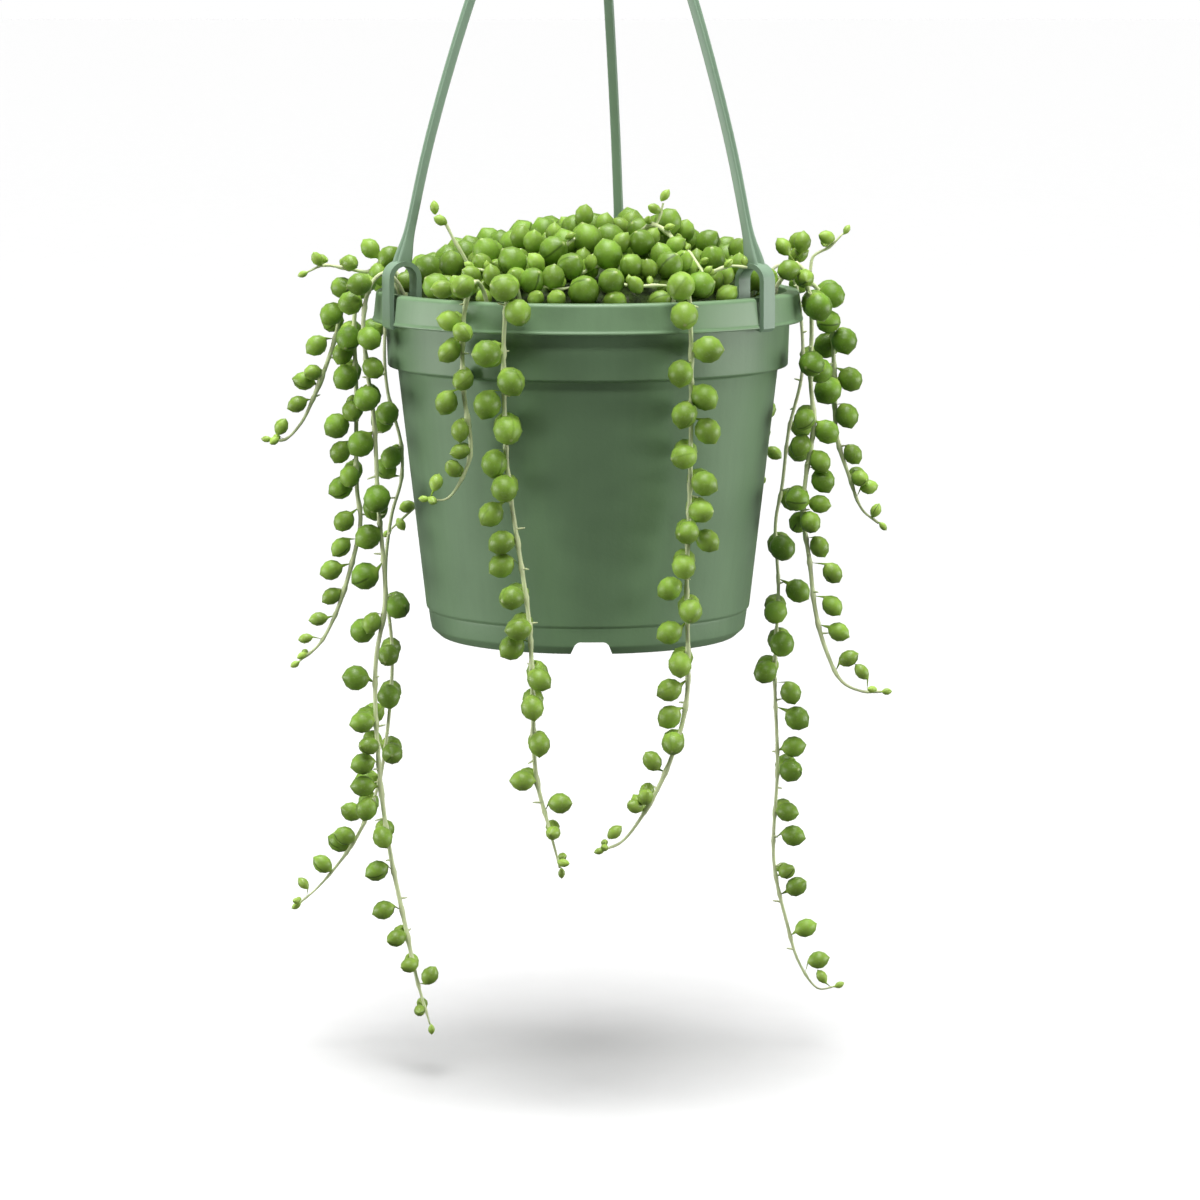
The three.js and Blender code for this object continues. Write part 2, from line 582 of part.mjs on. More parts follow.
// One measured pearl at the first of six depths that has room for it, or else shrunk into the roomiest,
// or left out.
function placedPearl(owner, from, centre, aside, radius) {
  const depths = [-aside, aside, -aside - 1.5, aside + 1.5, -aside - 3, aside + 3].map((step) => {
    const spot = new THREE.Vector3(centre.x, from.y + step, centre.z);
    return { spot, space: room(spot, owner) / 1.08 };
  });
  const roomiest = depths.reduce((a, b) => (b.space > a.space ? b : a));
  const { spot, space } = depths.find((depth) => depth.space >= radius) ?? roomiest;
  if (space < 0.72 * radius) return [];
  const size = Math.min(radius, space);
  const youth = 1 - THREE.MathUtils.clamp((size - 1.2) / 2.8, 0, 1);
  placed.push({ owner, a: spot, b: spot, radius: size * 1.08 });
  return [{ ...reaching(from, spot), radius: size, stretch: 1 + 0.4 * youth ** 1.6 }];
}

// The pearls of a stem behind the pot, by its letters. A pearl whose place is taken turns about its
// node until it has room, or is left out.
function sidedPearls(strand) {
  const draw = seeded(strand.seed);
  const length = strand.curve.getLength();
  const count = strand.sides.length;
  const pearls = [];
  for (let i = 0; i < count; i++) {
    const t = (i + 0.5) / count;
    const radius = strand.pearl * taper(t);
    const along = FIRST_NODE + (length - FIRST_NODE - 2) * (t + 0.06 * Math.sin(Math.PI * t));
    const from = pointOn(strand.facets, along / length);
    const [turn, dip] = [2 * draw() - 1, 2 * draw() - 1];
    const straight = growth(strand.sides[i], turn, dip);
    const stretch = 1 + 0.5 * t ** 5;
    for (const twist of [0, 25, -25, 50, -50, 80, -80, 110, -110]) {
      const towards = straight.clone().applyAxisAngle(UP, radians(twist));
      const reach = radius * stretch + 0.9;
      const centre = from.clone().addScaledVector(towards, reach);
      if (room(centre, strand.name) < radius * 1.08) continue;
      pearls.push({ from, towards, radius, stretch, reach });
      placed.push({ owner: strand.name, a: centre, b: centre, radius: radius * 1.08 });
      break;
    }
  }
  return pearls;
}

function strand({ curve, facets, pearls }) {
  const stem = solid(swept(round(STEM_RADIUS, 3), curve, facets.length - 1));
  const end = facets.at(-1);
  const ahead = end.clone().sub(facets.at(-2)).normalize();
  const tip = pearl(end.clone().addScaledVector(ahead, -1), ahead, 1.3, 2, 3);
  const grown = pearls.map((p) => pearl(p.from, p.towards, p.radius, p.stretch, p.reach));
  return wasm.Manifold.union([stem, tip, ...grown]);
}

// A stem behind the pot. Its sides hold one letter for each node down the stem, for the side its pearl
// grows on: Up, Back, Right or Left.
function backStrand(bearing, i) {
  const draw = seeded(60 + i);
  const route = [];
  for (let drop = 7; drop <= BACK_LENGTHS[i]; drop += 20) {
    const spot = polar(BACK_RING + BACK_SWAY * draw(), bearing + BACK_SWAY * (2 * draw() - 1), 0);
    route.push([spot.x, spot.y, drop]);
  }
  const last = polar(BACK_RING + 9, bearing + 6, 0);
  route.push([last.x, last.y, BACK_LENGTHS[i] + 5]);
  const sides = "UUBRBLBRBLBRBLBR".slice(0, 2 + Math.round(BACK_LENGTHS[i] / BACK_STEP));
  return { name: "strand_back_" + (i + 1), bearing, sides, pearl: 3.6, seed: 70 + i, route };
}

// ---- The mound ----

function swell(x, y) {
  const away = Math.hypot(x - SUMMIT.x, y - SUMMIT.y) / SUMMIT.spread;
  return SUMMIT.rise * Math.exp(-away * away);
}

// The rise of the pearl centres over a point in plan.
function moundRise(x, y) {
  const out = Math.hypot(x, y) / MOUND_RADIUS;
  return MOUND_TOP - (MOUND_TOP - MOUND_EDGE) * out ** MOUND_POWER + swell(x, y);
}

// The plain core that the pearls stand on: a dome with an upright side, swollen at the summit.
function moundCore() {
  const base = -SOIL_DROP + GAP;
  const rows = [CORE_RADIUS, 40, 20];
  const rise = (r) => MOUND_TOP - (MOUND_TOP - MOUND_EDGE) * (r / MOUND_RADIUS) ** MOUND_POWER - CORE_DEPTH;
  const profile = [[0, base], [CORE_RADIUS, base], ...rows.map((r) => [r, rise(r)]), [0, rise(0)]];
  const points = profile.map(([r, z]) => new THREE.Vector2(r, RIM_TOP + z));
  const geometry = new THREE.LatheGeometry(points, 16).rotateX(Math.PI / 2);
  const position = geometry.attributes.position;
  for (let i = 0; i < position.count; i++) {
    const [x, y, z] = [position.getX(i), position.getY(i), position.getZ(i)];
    if (z > RIM_TOP + base + 1) position.setZ(i, z + swell(x, y));
  }
  return solid(geometry);
}

// The pearls that face the front, each grown from a spot sunk in the core.
function frontPearls() {
  return CROWN_FRONT.flatMap(([x, y, rise, size]) => {
    const centre = new THREE.Vector3(x, y, RIM_TOP + rise);
    const radius = Math.min(size, room(centre, "mound") / 1.08);
    if (radius < 0.7 * size) return [];
    placed.push({ owner: "mound", a: centre, b: centre, radius: radius * 1.08 });
    const inwards = Math.min(1, (CORE_RADIUS - 3) / Math.hypot(x, y));
    const sunk = moundRise(x * inwards, y * inwards) - CORE_DEPTH - 1.5;
    const low = Math.min(rise - radius - 2, sunk);
    return [{ ...reaching(new THREE.Vector3(x * inwards, y * inwards, RIM_TOP + low), centre), radius }];
  });
}

// Pearls in a row along the rim and, inside it, on a sunflower spiral, each jittered by seeded draws,
// and shrunk or left out where something else has its place.
function moundPearls() {
  const draw = seeded(5);
  const turn = Math.PI * (3 - Math.sqrt(5));
  const pearls = frontPearls();
  for (let k = 0; k < RIM_ROW + MOUND_PEARLS; k++) {
    const inner = k - RIM_ROW;
    const spiral = (MOUND_RADIUS - 6) * Math.sqrt((inner + 0.5) / MOUND_PEARLS);
    const out = (inner < 0 ? MOUND_RADIUS : spiral) - 0.8 + 1.2 * draw();
    const even = inner < 0 ? (2 * Math.PI * k) / RIM_ROW : inner * turn;
    const angle = even + (2 * draw() - 1) / Math.max(out, 8);
    const [x, y] = [out * Math.cos(angle), out * Math.sin(angle)];
    const centre = new THREE.Vector3(x, y, RIM_TOP + moundRise(x, y) + 1.6 * draw() - 0.8);
    const lean = new THREE.Vector3(x, y, 0).setLength(1.5 * (out / MOUND_RADIUS) ** 3);
    lean.add(new THREE.Vector3(0.5 * (2 * draw() - 1), 0.5 * (2 * draw() - 1), 1)).normalize();
    const radius = Math.min(PEARL_RADIUS * (0.92 + 0.12 * draw()), room(centre, "mound") / 1.08);
    if (radius < LEAST_PEARL) continue;
    placed.push({ owner: "mound", a: centre, b: centre, radius: radius * 1.08 });
    pearls.push({ ...reaching(centre.clone().addScaledVector(lean, -radius - 3.6), centre), radius });
  }
  return pearls;
}

function sprigCurve(points) {
  return new THREE.CatmullRomCurve3(points.map(([x, y, rise]) => new THREE.Vector3(x, y, RIM_TOP + rise)));
}

function sprig(points) {
  const curve = sprigCurve(points);
  const stem = solid(swept(round(STEM_RADIUS * 0.8, 3), curve, 4));
  const top = curve.getPointAt(1);
  const ahead = curve.getTangentAt(1);
  const tip = pearl(top.clone().addScaledVector(ahead, -1), ahead, 1.6, 1.6, 3);
  const side = new THREE.Vector3(-1, -0.4, 0.9).normalize();
  const leaf = pearl(curve.getPointAt(0.85), side, 1.8, 1.5, 3.4);
  return wasm.Manifold.union([stem, tip, leaf]);
}

// ---- The soil ----

function soil(strands) {
  const gap = GAP + 0.05;
  const [, upper, shoulder, low] = POT_INSIDE.map(([r, z]) => [r - gap, z + gap / 2]);
  const wall = [[low[0], low[1] + gap], shoulder, upper, [upper[0] + 0.3, -SOIL_DROP]];
  let shape = turned([[0, wall[0][1]], ...wall, [0, -SOIL_DROP]], SIDES);
  for (const { bearing } of strands) shape = shape.subtract(stemHole(bearing));
  return shape;
}

function stemHole(bearing) {
  const depth = ROOT_DEPTH + GAP;
  const spot = polar(ROOT_RING, bearing, -SOIL_DROP + (1 - depth) / 2);
  const cutter = new THREE.BoxGeometry(HOLE_SIZE, HOLE_SIZE, depth + 1).rotateZ(radians(bearing));
  return solid(cutter.translate(spot.x, spot.y, spot.z));
}

// ---- The whole plant in its pot ----

const part = new THREE.Group();
part.add(meshOf("pot", pot(), SAGE, 0.42));
part.add(meshOf("hanger", hanger(), SAGE, 0.45));

for (const bearing of CLIP_BEARINGS) {
  const strap = [[65, -9], [65, 5], [60.6, 9.7], [56.2, 5], [56.2, -3], [58.5, -8.3]];
  keepClear("hanger", strap.map(([r, z]) => polar(r, bearing, z)), CLIP_WIDTH / 2 + 0.2);
  keepClear("hanger", ARM_LINE.slice(0, 4).map(([r, z]) => polar(r, bearing, z)), 2.4);
}

const strands = [...STRANDS, ...BACK_BEARINGS.map(backStrand)];
for (const spec of strands) {
  spec.curve = stemCurve(spec);
  spec.facets = spec.curve.getSpacedPoints(Math.round(spec.curve.getLength() / STEM_STEP));
  const first = placed.length;
  keepClear(spec.name, spec.curve.getSpacedPoints(Math.round(spec.curve.getLength() / 4)), STEM_RADIUS);
  placed.slice(first).forEach((rod) => (rod.stem = true));
}
for (const spec of strands) spec.pearls = spec.leaves ? measuredPearls(spec) : sidedPearls(spec);

part.add(meshOf("soil", soil(strands), PEAT, 0.95));
for (const points of SPRIGS) keepClear("mound", sprigCurve(points).getSpacedPoints(4), STEM_RADIUS);
const crownPearls = moundPearls().map((p) => pearl(p.from, p.towards, p.radius, 1, p.reach));
const crown = wasm.Manifold.union([moundCore(), ...crownPearls, ...SPRIGS.map(sprig)]);
part.add(meshOf("mound", crown, LEAF, 0.5));
for (const spec of strands) {
  const color = spec.name.startsWith("sprig") ? YOUNG_LEAF : OLD_LEAF;
  part.add(meshOf(spec.name, strand(spec), color, 0.5));
}

export default part;
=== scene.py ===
"""A hanging string of pearls in its nursery pot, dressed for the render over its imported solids.

The solids are loaded as a fixed frame. Each operator below makes one piece of the real thing, or one
group of like pieces, in the same place as the solid that it stands for. +Z is up, the front is -Y,
and the origin is the inside top of the hook.
"""

import functools

import bpy
import numpy as np
from bpy.props import FloatProperty, FloatVectorProperty, IntProperty, PointerProperty
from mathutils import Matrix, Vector
from mathutils.geometry import tessellate_polygon


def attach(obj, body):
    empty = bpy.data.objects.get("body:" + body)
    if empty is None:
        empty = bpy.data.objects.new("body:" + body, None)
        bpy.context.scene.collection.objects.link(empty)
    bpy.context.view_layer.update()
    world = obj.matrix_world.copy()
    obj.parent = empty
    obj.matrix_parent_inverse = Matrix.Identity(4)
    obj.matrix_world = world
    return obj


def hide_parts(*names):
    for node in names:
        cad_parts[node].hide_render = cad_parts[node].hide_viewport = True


bl_info = {
    "name": "Hanging string of pearls",
    "version": (1, 0, 0),
    "blender": (4, 5, 0),
    "location": "View3D > Sidebar > String of pearls",
    "description": "Builds a trailing succulent in a hanging plastic pot, piece by piece",
    "category": "Add Mesh",
}

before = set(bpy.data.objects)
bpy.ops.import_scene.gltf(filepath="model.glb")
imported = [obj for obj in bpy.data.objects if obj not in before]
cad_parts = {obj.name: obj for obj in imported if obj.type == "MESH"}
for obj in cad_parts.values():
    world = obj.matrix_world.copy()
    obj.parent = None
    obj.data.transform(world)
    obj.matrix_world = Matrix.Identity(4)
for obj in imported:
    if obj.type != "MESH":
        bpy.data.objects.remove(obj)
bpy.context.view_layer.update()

MM = 0.001
RIM_TOP = -205.0 * MM  # height of the rim's top; drops and rises in the tables below start there

# ---- Measured tables, in millimetres ----

# Every stem that leaves the pot: where it leaves the soil, in degrees from the front; the height of
# its crest over the rim; its route outside the rim as (x, y, drop); and its pearls as
# (x, drop, radius), as they lie in the front view.
STEMS = {
    "strand_front_1": dict(
        bearing=-31, age=0.25,
        route=[(-36, -58, 6), (-36, -58, 25), (-34, -58, 43), (-36, -59, 50), (-41, -60, 57),
               (-46, -61, 57)],
        pearls=[(-36, -5, 3.6), (-42, -4, 3.0), (-40, 5, 3.2), (-36, 8, 3.0), (-40, 14, 3.3),
                (-36, 22, 3.2), (-41, 29, 3.5), (-37, 37, 2.9), (-37, 43, 2.5), (-39, 48, 2.6),
                (-44, 52, 2.2), (-45, 57, 1.4)],
    ),
    "strand_front_2": dict(
        bearing=-20, age=0.7,
        route=[(-24, -64, 7), (-24, -64, 30), (-23, -64, 50), (-20, -64, 71), (-17, -65, 92),
               (-16, -65, 112), (-15, -65, 138), (-11, -66, 154), (-8, -67, 165)],
        pearls=[(-24, -5, 4.2), (-20, 2, 4.0), (-29, 14, 4.2), (-22, 22, 4.2), (-29, 29, 4.2),
                (-23, 36, 4.3), (-27, 46, 4.0), (-24, 53, 4.0), (-28, 61, 3.7), (-25, 69, 3.7),
                (-25, 76, 3.7), (-22, 85, 3.7), (-20, 94, 3.6), (-22, 100, 3.7), (-14, 109, 3.5),
                (-16, 117, 3.5), (-14, 128, 3.3), (-19, 139, 3.2), (-8, 146, 3.2), (-10, 154, 2.3),
                (-7, 163, 1.4)],
    ),
    "strand_front_3": dict(
        bearing=26, age=0.7,
        route=[(30, -61, 8), (30, -61, 48), (29, -62, 80), (29, -62, 116), (25, -62, 132), (18, -63, 147),
               (10, -63, 158), (5, -64, 160)],
        pearls=[(27, -5, 4.2), (28, 3, 4.2), (35, 13, 4.2), (27, 20, 3.9), (34, 27, 4.0), (28, 32, 3.8),
                (35, 37, 3.9), (28, 44, 3.8), (34, 52, 3.8), (33, 60, 3.6), (29, 66, 3.6), (35, 69, 3.5),
                (28, 76, 3.6), (24, 83, 3.6), (30, 89, 3.6), (24, 96, 3.6), (27, 105, 3.6), (24, 113, 3.5),
                (24, 121, 3.5), (25, 128, 3.5), (19, 134, 2.9), (17, 144, 2.5), (14, 147, 2.3),
                (8, 155, 2.0), (5, 159, 1.2)],
    ),
    "strand_left_1": dict(
        bearing=-102, age=0.45,
        route=[(-74, 12, 3), (-77, 12, 15), (-80, 12, 24), (-84, 12, 34), (-88, 13, 42), (-93, 13, 47),
               (-97, 13, 47)],
        pearls=[(-75, 0, 3.4), (-78, 8, 3.6), (-78, 11, 3.3), (-83, 18, 3.2), (-84, 26, 2.6),
                (-87, 29, 3.0), (-89, 36, 2.7), (-94, 43, 2.3), (-96, 47, 1.4)],
    ),
    "strand_left_2": dict(
        bearing=-87, age=0.75,
        route=[(-70, -5, 5), (-70, -5, 30), (-70, -5, 60), (-69, -5, 70), (-72, -5, 84), (-77, -5, 99),
               (-82, -5, 108), (-88, -5, 113)],
        pearls=[(-60, -10, 3.3), (-63, -5, 3.0), (-72, 14, 3.9), (-74, 19, 3.3), (-73, 26, 3.9),
                (-71, 36, 3.3), (-76, 41, 3.9), (-75, 49, 3.3), (-72, 56, 3.3), (-75, 60, 3.6),
                (-74, 70, 3.2), (-75, 78, 3.0), (-78, 85, 3.2), (-78, 93, 2.7), (-82, 100, 2.3),
                (-86, 106, 1.7), (-87, 111, 1.2)],
    ),
    "strand_left_3": dict(
        bearing=-75, age=0.8,
        route=[(-67, -19, 8), (-66, -19, 22), (-64, -19, 38), (-63, -19, 62), (-61, -19, 92),
               (-64, -19, 112), (-63, -20, 145), (-60, -20, 169), (-56, -21, 189), (-52, -22, 208),
               (-48, -23, 222)],
        pearls=[(-68, -3, 3.5), (-71, 3, 3.7), (-65, 13, 3.6), (-64, 22, 3.3), (-66, 31, 3.9),
                (-68, 45, 4.0), (-63, 61, 4.2), (-64, 65, 3.9), (-66, 73, 3.9), (-67, 85, 4.2),
                (-65, 99, 3.0), (-68, 102, 3.9), (-70, 116, 3.9), (-68, 129, 3.4), (-66, 136, 3.0),
                (-68, 142, 3.4), (-68, 149, 3.4), (-67, 156, 3.4), (-62, 164, 3.2), (-64, 175, 3.3),
                (-62, 187, 3.0), (-58, 195, 2.8), (-54, 203, 2.5), (-48, 207, 2.7), (-51, 217, 1.9)],
    ),
    "strand_left_4": dict(
        bearing=-116, age=0.85,
        route=[(-62, 30, 7), (-63, 29, 22), (-62, 29, 34), (-58, 29, 50), (-58, 29, 61), (-61, 28, 72),
               (-63, 27, 90), (-61, 26, 116), (-63, 26, 142), (-66, 25, 158), (-73, 24, 174),
               (-84, 22, 188), (-90, 20, 193)],
        pearls=[(-62, 40, 3.7), (-64, 43, 3.7), (-61, 54, 3.4), (-63, 58, 3.4), (-59, 100, 3.9),
                (-62, 115, 3.5), (-62, 128, 3.7), (-67, 134, 3.4), (-61, 146, 3.5), (-74, 165, 3.1),
                (-76, 172, 3.1), (-78, 175, 3.4), (-83, 181, 2.9), (-89, 187, 1.7), (-91, 192, 1.1)],
    ),
    "strand_right_1": dict(
        bearing=110, age=0.85,
        route=[(65, 23, 6), (66, 23, 27), (62, 23, 45), (60, 22, 62), (58, 22, 74), (59, 22, 94),
               (58, 22, 120), (59, 22, 150), (58, 21, 180), (62, 20, 199), (66, 19, 212), (72, 18, 220),
               (77, 17, 219)],
        pearls=[(60, 81, 4.1), (65, 95, 3.8), (58, 101, 3.7), (60, 111, 4.0), (55, 120, 3.7),
                (63, 127, 3.4), (65, 135, 3.8), (64, 144, 3.4), (63, 151, 3.7), (62, 164, 3.2),
                (64, 172, 3.4), (62, 183, 2.5), (65, 188, 3.2), (68, 201, 3.1), (72, 211, 2.9),
                (73, 216, 1.8)],
    ),
    "strand_right_2": dict(
        bearing=77, age=0.75,
        route=[(67, -13, 6), (67, -13, 27), (68, -13, 40), (66, -12, 54), (65, -12, 67), (67, -12, 81),
               (69, -12, 97), (72, -12, 108), (77, -13, 118), (83, -13, 121), (89, -14, 121)],
        pearls=[(60, -7, 3.3), (65, -4, 3.0), (69, 4, 4.2), (67, 21, 4.0), (70, 24, 3.9), (65, 38, 3.3),
                (72, 42, 3.7), (64, 46, 3.3), (70, 51, 3.3), (71, 57, 3.7), (70, 64, 3.0), (63, 62, 3.7),
                (67, 69, 3.3), (64, 70, 3.3), (70, 77, 3.1), (74, 85, 3.1), (74, 95, 3.1), (76, 103, 3.0),
                (79, 111, 2.7), (83, 115, 2.2), (86, 120, 1.2)],
    ),
    "strand_right_3": dict(
        bearing=97, age=0.65,
        route=[(73, 8, 5), (75, 8, 23), (76, 8, 45), (80, 8, 58), (84, 7, 68), (89, 6, 72)],
        pearls=[(64, -10, 2.7), (65, -14, 3.2), (74, 2, 4.0), (73, 10, 3.7), (78, 16, 4.0), (73, 18, 4.0),
                (80, 28, 3.8), (73, 31, 4.3), (79, 39, 3.7), (82, 40, 3.7), (81, 51, 3.0), (83, 58, 2.7),
                (86, 61, 2.4), (88, 68, 1.8)],
    ),
    "sprig_left": dict(
        bearing=-95, age=0.15, crest=8,
        route=[(-73, 4, -6), (-80, 4, -7), (-85, 4, -5)],
        pearls=[(-66, -12, 3.0), (-72, -8, 2.6), (-82, -9, 1.9)],
    ),
    "sprig_right": dict(
        bearing=88, age=0.2, crest=8,
        route=[(68, -2, -10), (73, -2, -13), (77, -2, -17)],
        pearls=[(59, -13, 2.5), (72, -16, 2.2)],
    ),
}

# Stems behind the pot: (bearing, length). They fall plainly, swaying a little by seeded draws.
BACK_STEMS = ((129, 58), (146, 78), (-164, 70), (-150, 48), (-133, 74))

# The crown's pearls that face the front, as (x, y, rise, radius).
CROWN_FRONT = (
    (8, -55, 0, 3.5), (21, -51, 0, 4.3), (-9, -56, 1, 2.8), (-15, -55, 1, 2.5), (41, -39, 1, 3.0),
    (-31, -48, 2, 2.8), (-1, -54, 3, 4.6), (27, -48, 4, 4.1), (33, -44, 4, 4.3), (-25, -50, 4, 4.3),
    (14, -54, 5, 2.4), (-16, -52, 6, 3.8), (7, -54, 6, 3.8), (-10, -52, 7, 3.5), (-34, -42, 7, 2.8),
    (-28, -44, 7, 2.8), (24, -44, 10, 4.0), (18, -46, 9, 2.8), (45, -22, 9, 2.8), (-31, -37, 10, 3.0),
    (-5, -48, 10, 3.9), (13, -46, 10, 3.8), (28, -39, 11, 3.0), (-15, -44, 11, 2.5), (37, -30, 11, 3.8),
    (1, -46, 11, 2.0), (-22, -40, 11, 4.2), (6, -42, 13, 4.3), (-30, -28, 13, 4.1), (-10, -36, 14, 4.1),
    (45, -12, 13, 3.0), (26, -30, 15, 2.8), (36, -12, 15, 3.6), (16, -32, 16, 3.8), (10, -33, 16, 2.8),
    (-16, -28, 16, 3.1), (-20, -20, 17, 3.1), (0, -30, 17, 4.2), (19, -24, 17, 2.6), (-10, -20, 18, 2.6),
    (29, -8, 18, 3.2), (-6, -3, 19, 2.9), (5, -8, 20, 3.0), (13, 2, 20, 3.1), (24, -13, 21, 4.0),
    (-1, -14, 23, 2.9),
)

# The photo's camera: its place in metres, how far it looks down in radians, and its lens and sensor.
CAMERA_PLACE = (0.00369, -1.4, -0.109)
CAMERA_TILT = 0.1355
LENS, SENSOR = 138.84, 36.0

# Where the hanger's clips stand on the rim, in degrees from the front.
CLIP_BEARINGS = (-65.5, 54.5, 170.5)

# The middle line of a hanger's arm as (radius, rise), from its clip up to the hub.
ARM_LINE = ((60.6, 9.2), (57.8, 20), (52.5, 42), (46, 64), (37.8, 88), (27, 115), (15.5, 141), (3, 167))

# Small stems that lie on the crown, as (x, y, rise) points.
RUNNERS = (
    ((16, -18, 18.5), (19, -20, 20.6), (23, -23, 19), (26, -27, 16), (30, -31, 13), (33, -35, 9),
     (35, -40, 6)),
    ((33, -36, 5), (36, -40, 7.5), (42, -39, 9.5), (47, -38, 9)),
    ((-16, -50, 3), (-12, -53, 4.4), (-8, -53, 3.6), (-5, -50, 4)),
    ((5, -48, 3), (9, -51, 4.8), (14, -52, 4.4), (21, -51, 4.6), (26, -48, 4)),
    ((-4, -42, 6), (-1, -45, 8), (4, -42, 10), (8, -38, 10)),
    ((-8, -32, 13), (-5, -33, 16.5), (-2, -30, 17), (2, -28, 15)),
    ((-36, -36, 6), (-33, -39, 8.5), (-28, -41, 7.5), (-24, -42, 6)),
)

# Sprigs that stand up out of the crown, in the same way, each with a leaf at its tip and one beside it.
SPRIGS = (
    ((-34, -24, 6), (-37, -25, 12), (-40, -25, 17), (-42, -25, 21), (-44, -25, 24)),
    ((15, -20, 12), (17.5, -20, 16.5), (20, -20, 20), (21.5, -20, 23), (22.5, -20, 27)),
)

# The pot's wall as (radius, rise): up its outside to the rim's top, then down its inside.
POT_OUTSIDE = [
    (43, -105), (45, -105), (47.8, -102.5), (48.5, -97.4), (48.5, -96.8), (49.2, -96.3), (57.6, -23.3),
    (60.6, -22.6), (61.3, -1.2), (62.8, -1.2), (63.8, -9), (65.1, -9), (65.2, -8.4), (64.8, -7.9),
    (64, -0.6), (63.4, 0),
]
POT_INSIDE = [(60.1, 0), (59.4, -22.1), (56.1, -24.5), (46.2, -98.8)]

# The middle line of a clip's strap as (radius, rise), which the pearls keep clear of.
CLIP_LINE = ((65, -9), (65, 5), (60.6, 9.7), (56.2, 5), (56.2, -3), (58.5, -8.3))


# ---- Numbers and curves ----

class Draws:
    """Repeatable draws from 0 up to 1: each state is 1664525 times the last one plus 1013904223, modulo
    2 to the power 32."""

    def __init__(self, seed):
        self.state = seed

    def next(self):
        self.state = (self.state * 1664525 + 1013904223) % 2**32
        return self.state / 2**32

    def spread(self):
        """A draw from -1 up to 1."""
        return 2 * self.next() - 1


def unit(vectors):
    vectors = np.asarray(vectors, float)
    return vectors / np.maximum(np.linalg.norm(vectors, axis=-1, keepdims=True), 1e-12)


def frame_of(bearing):
    """Unit vectors outwards and along the tangent on a bearing from the front, in degrees."""
    angle = np.radians(bearing)
    return np.array([np.sin(angle), -np.cos(angle), 0]), np.array([np.cos(angle), np.sin(angle), 0])


def in_plane(pairs, bearing):
    """(radius, rise over the rim) pairs in millimetres as points on a bearing."""
    pairs = np.asarray(pairs, float) * MM
    return pairs[:, :1] * frame_of(bearing)[0] + (pairs[:, 1:] + RIM_TOP) * np.array([0, 0, 1])


def over_rim(points):
    """(x, y, rise over the rim) points in millimetres as points."""
    return np.array(points) * MM + (0, 0, RIM_TOP)


def circle(radius, sides):
    angle = np.linspace(0, 2 * np.pi, sides, endpoint=False)
    return radius * np.stack([np.cos(angle), np.sin(angle)], -1)


def distance_along(points):
    return np.concatenate([[0], np.cumsum(np.linalg.norm(np.diff(points, axis=0), axis=1))])


def spline(points, places):
    """Points of a centripetal Catmull-Rom curve: between two knots a cubic whose slopes there come from
    the neighbouring knots, weighted by the square roots of the distances between them."""
    knots = np.vstack([2 * points[0] - points[1], points, 2 * points[-1] - points[-2]])
    span = np.minimum(places.astype(int), len(points) - 2)
    w = (places - span)[:, None]
    a, b, c, d = (knots[span + i] for i in range(4))
    ab, bc, cd = (np.sqrt(np.linalg.norm(q - p, axis=1))[:, None] for p, q in ((a, b), (b, c), (c, d)))
    start = ((b - a) / ab - (c - a) / (ab + bc) + (c - b) / bc) * bc
    stop = ((c - b) / bc - (d - b) / (bc + cd) + (d - c) / cd) * bc
    return b + start * w + (3 * (c - b) - 2 * start - stop) * w**2 + (2 * (b - c) + start + stop) * w**3


class Line:
    """A smooth curve through points, read by the distance along it."""

    def __init__(self, points):
        self.points = points
        self.places = np.linspace(0, len(self.points) - 1, 201)
        self.along = distance_along(spline(self.points, self.places))
        self.length = self.along[-1]

    def at(self, distances):
        return spline(self.points, np.interp(distances, self.along, self.places))

    def point(self, distance):
        return self.at(np.array([distance]))[0]

    def spaced(self, count):
        return self.at(np.linspace(0, self.length, count))

    def tip(self):
        """The end point and the direction of the last 2 mm."""
        end, before = self.at(np.array([self.length, self.length - 2 * MM]))
        return end, unit(end - before)


# ---- Surfaces ----

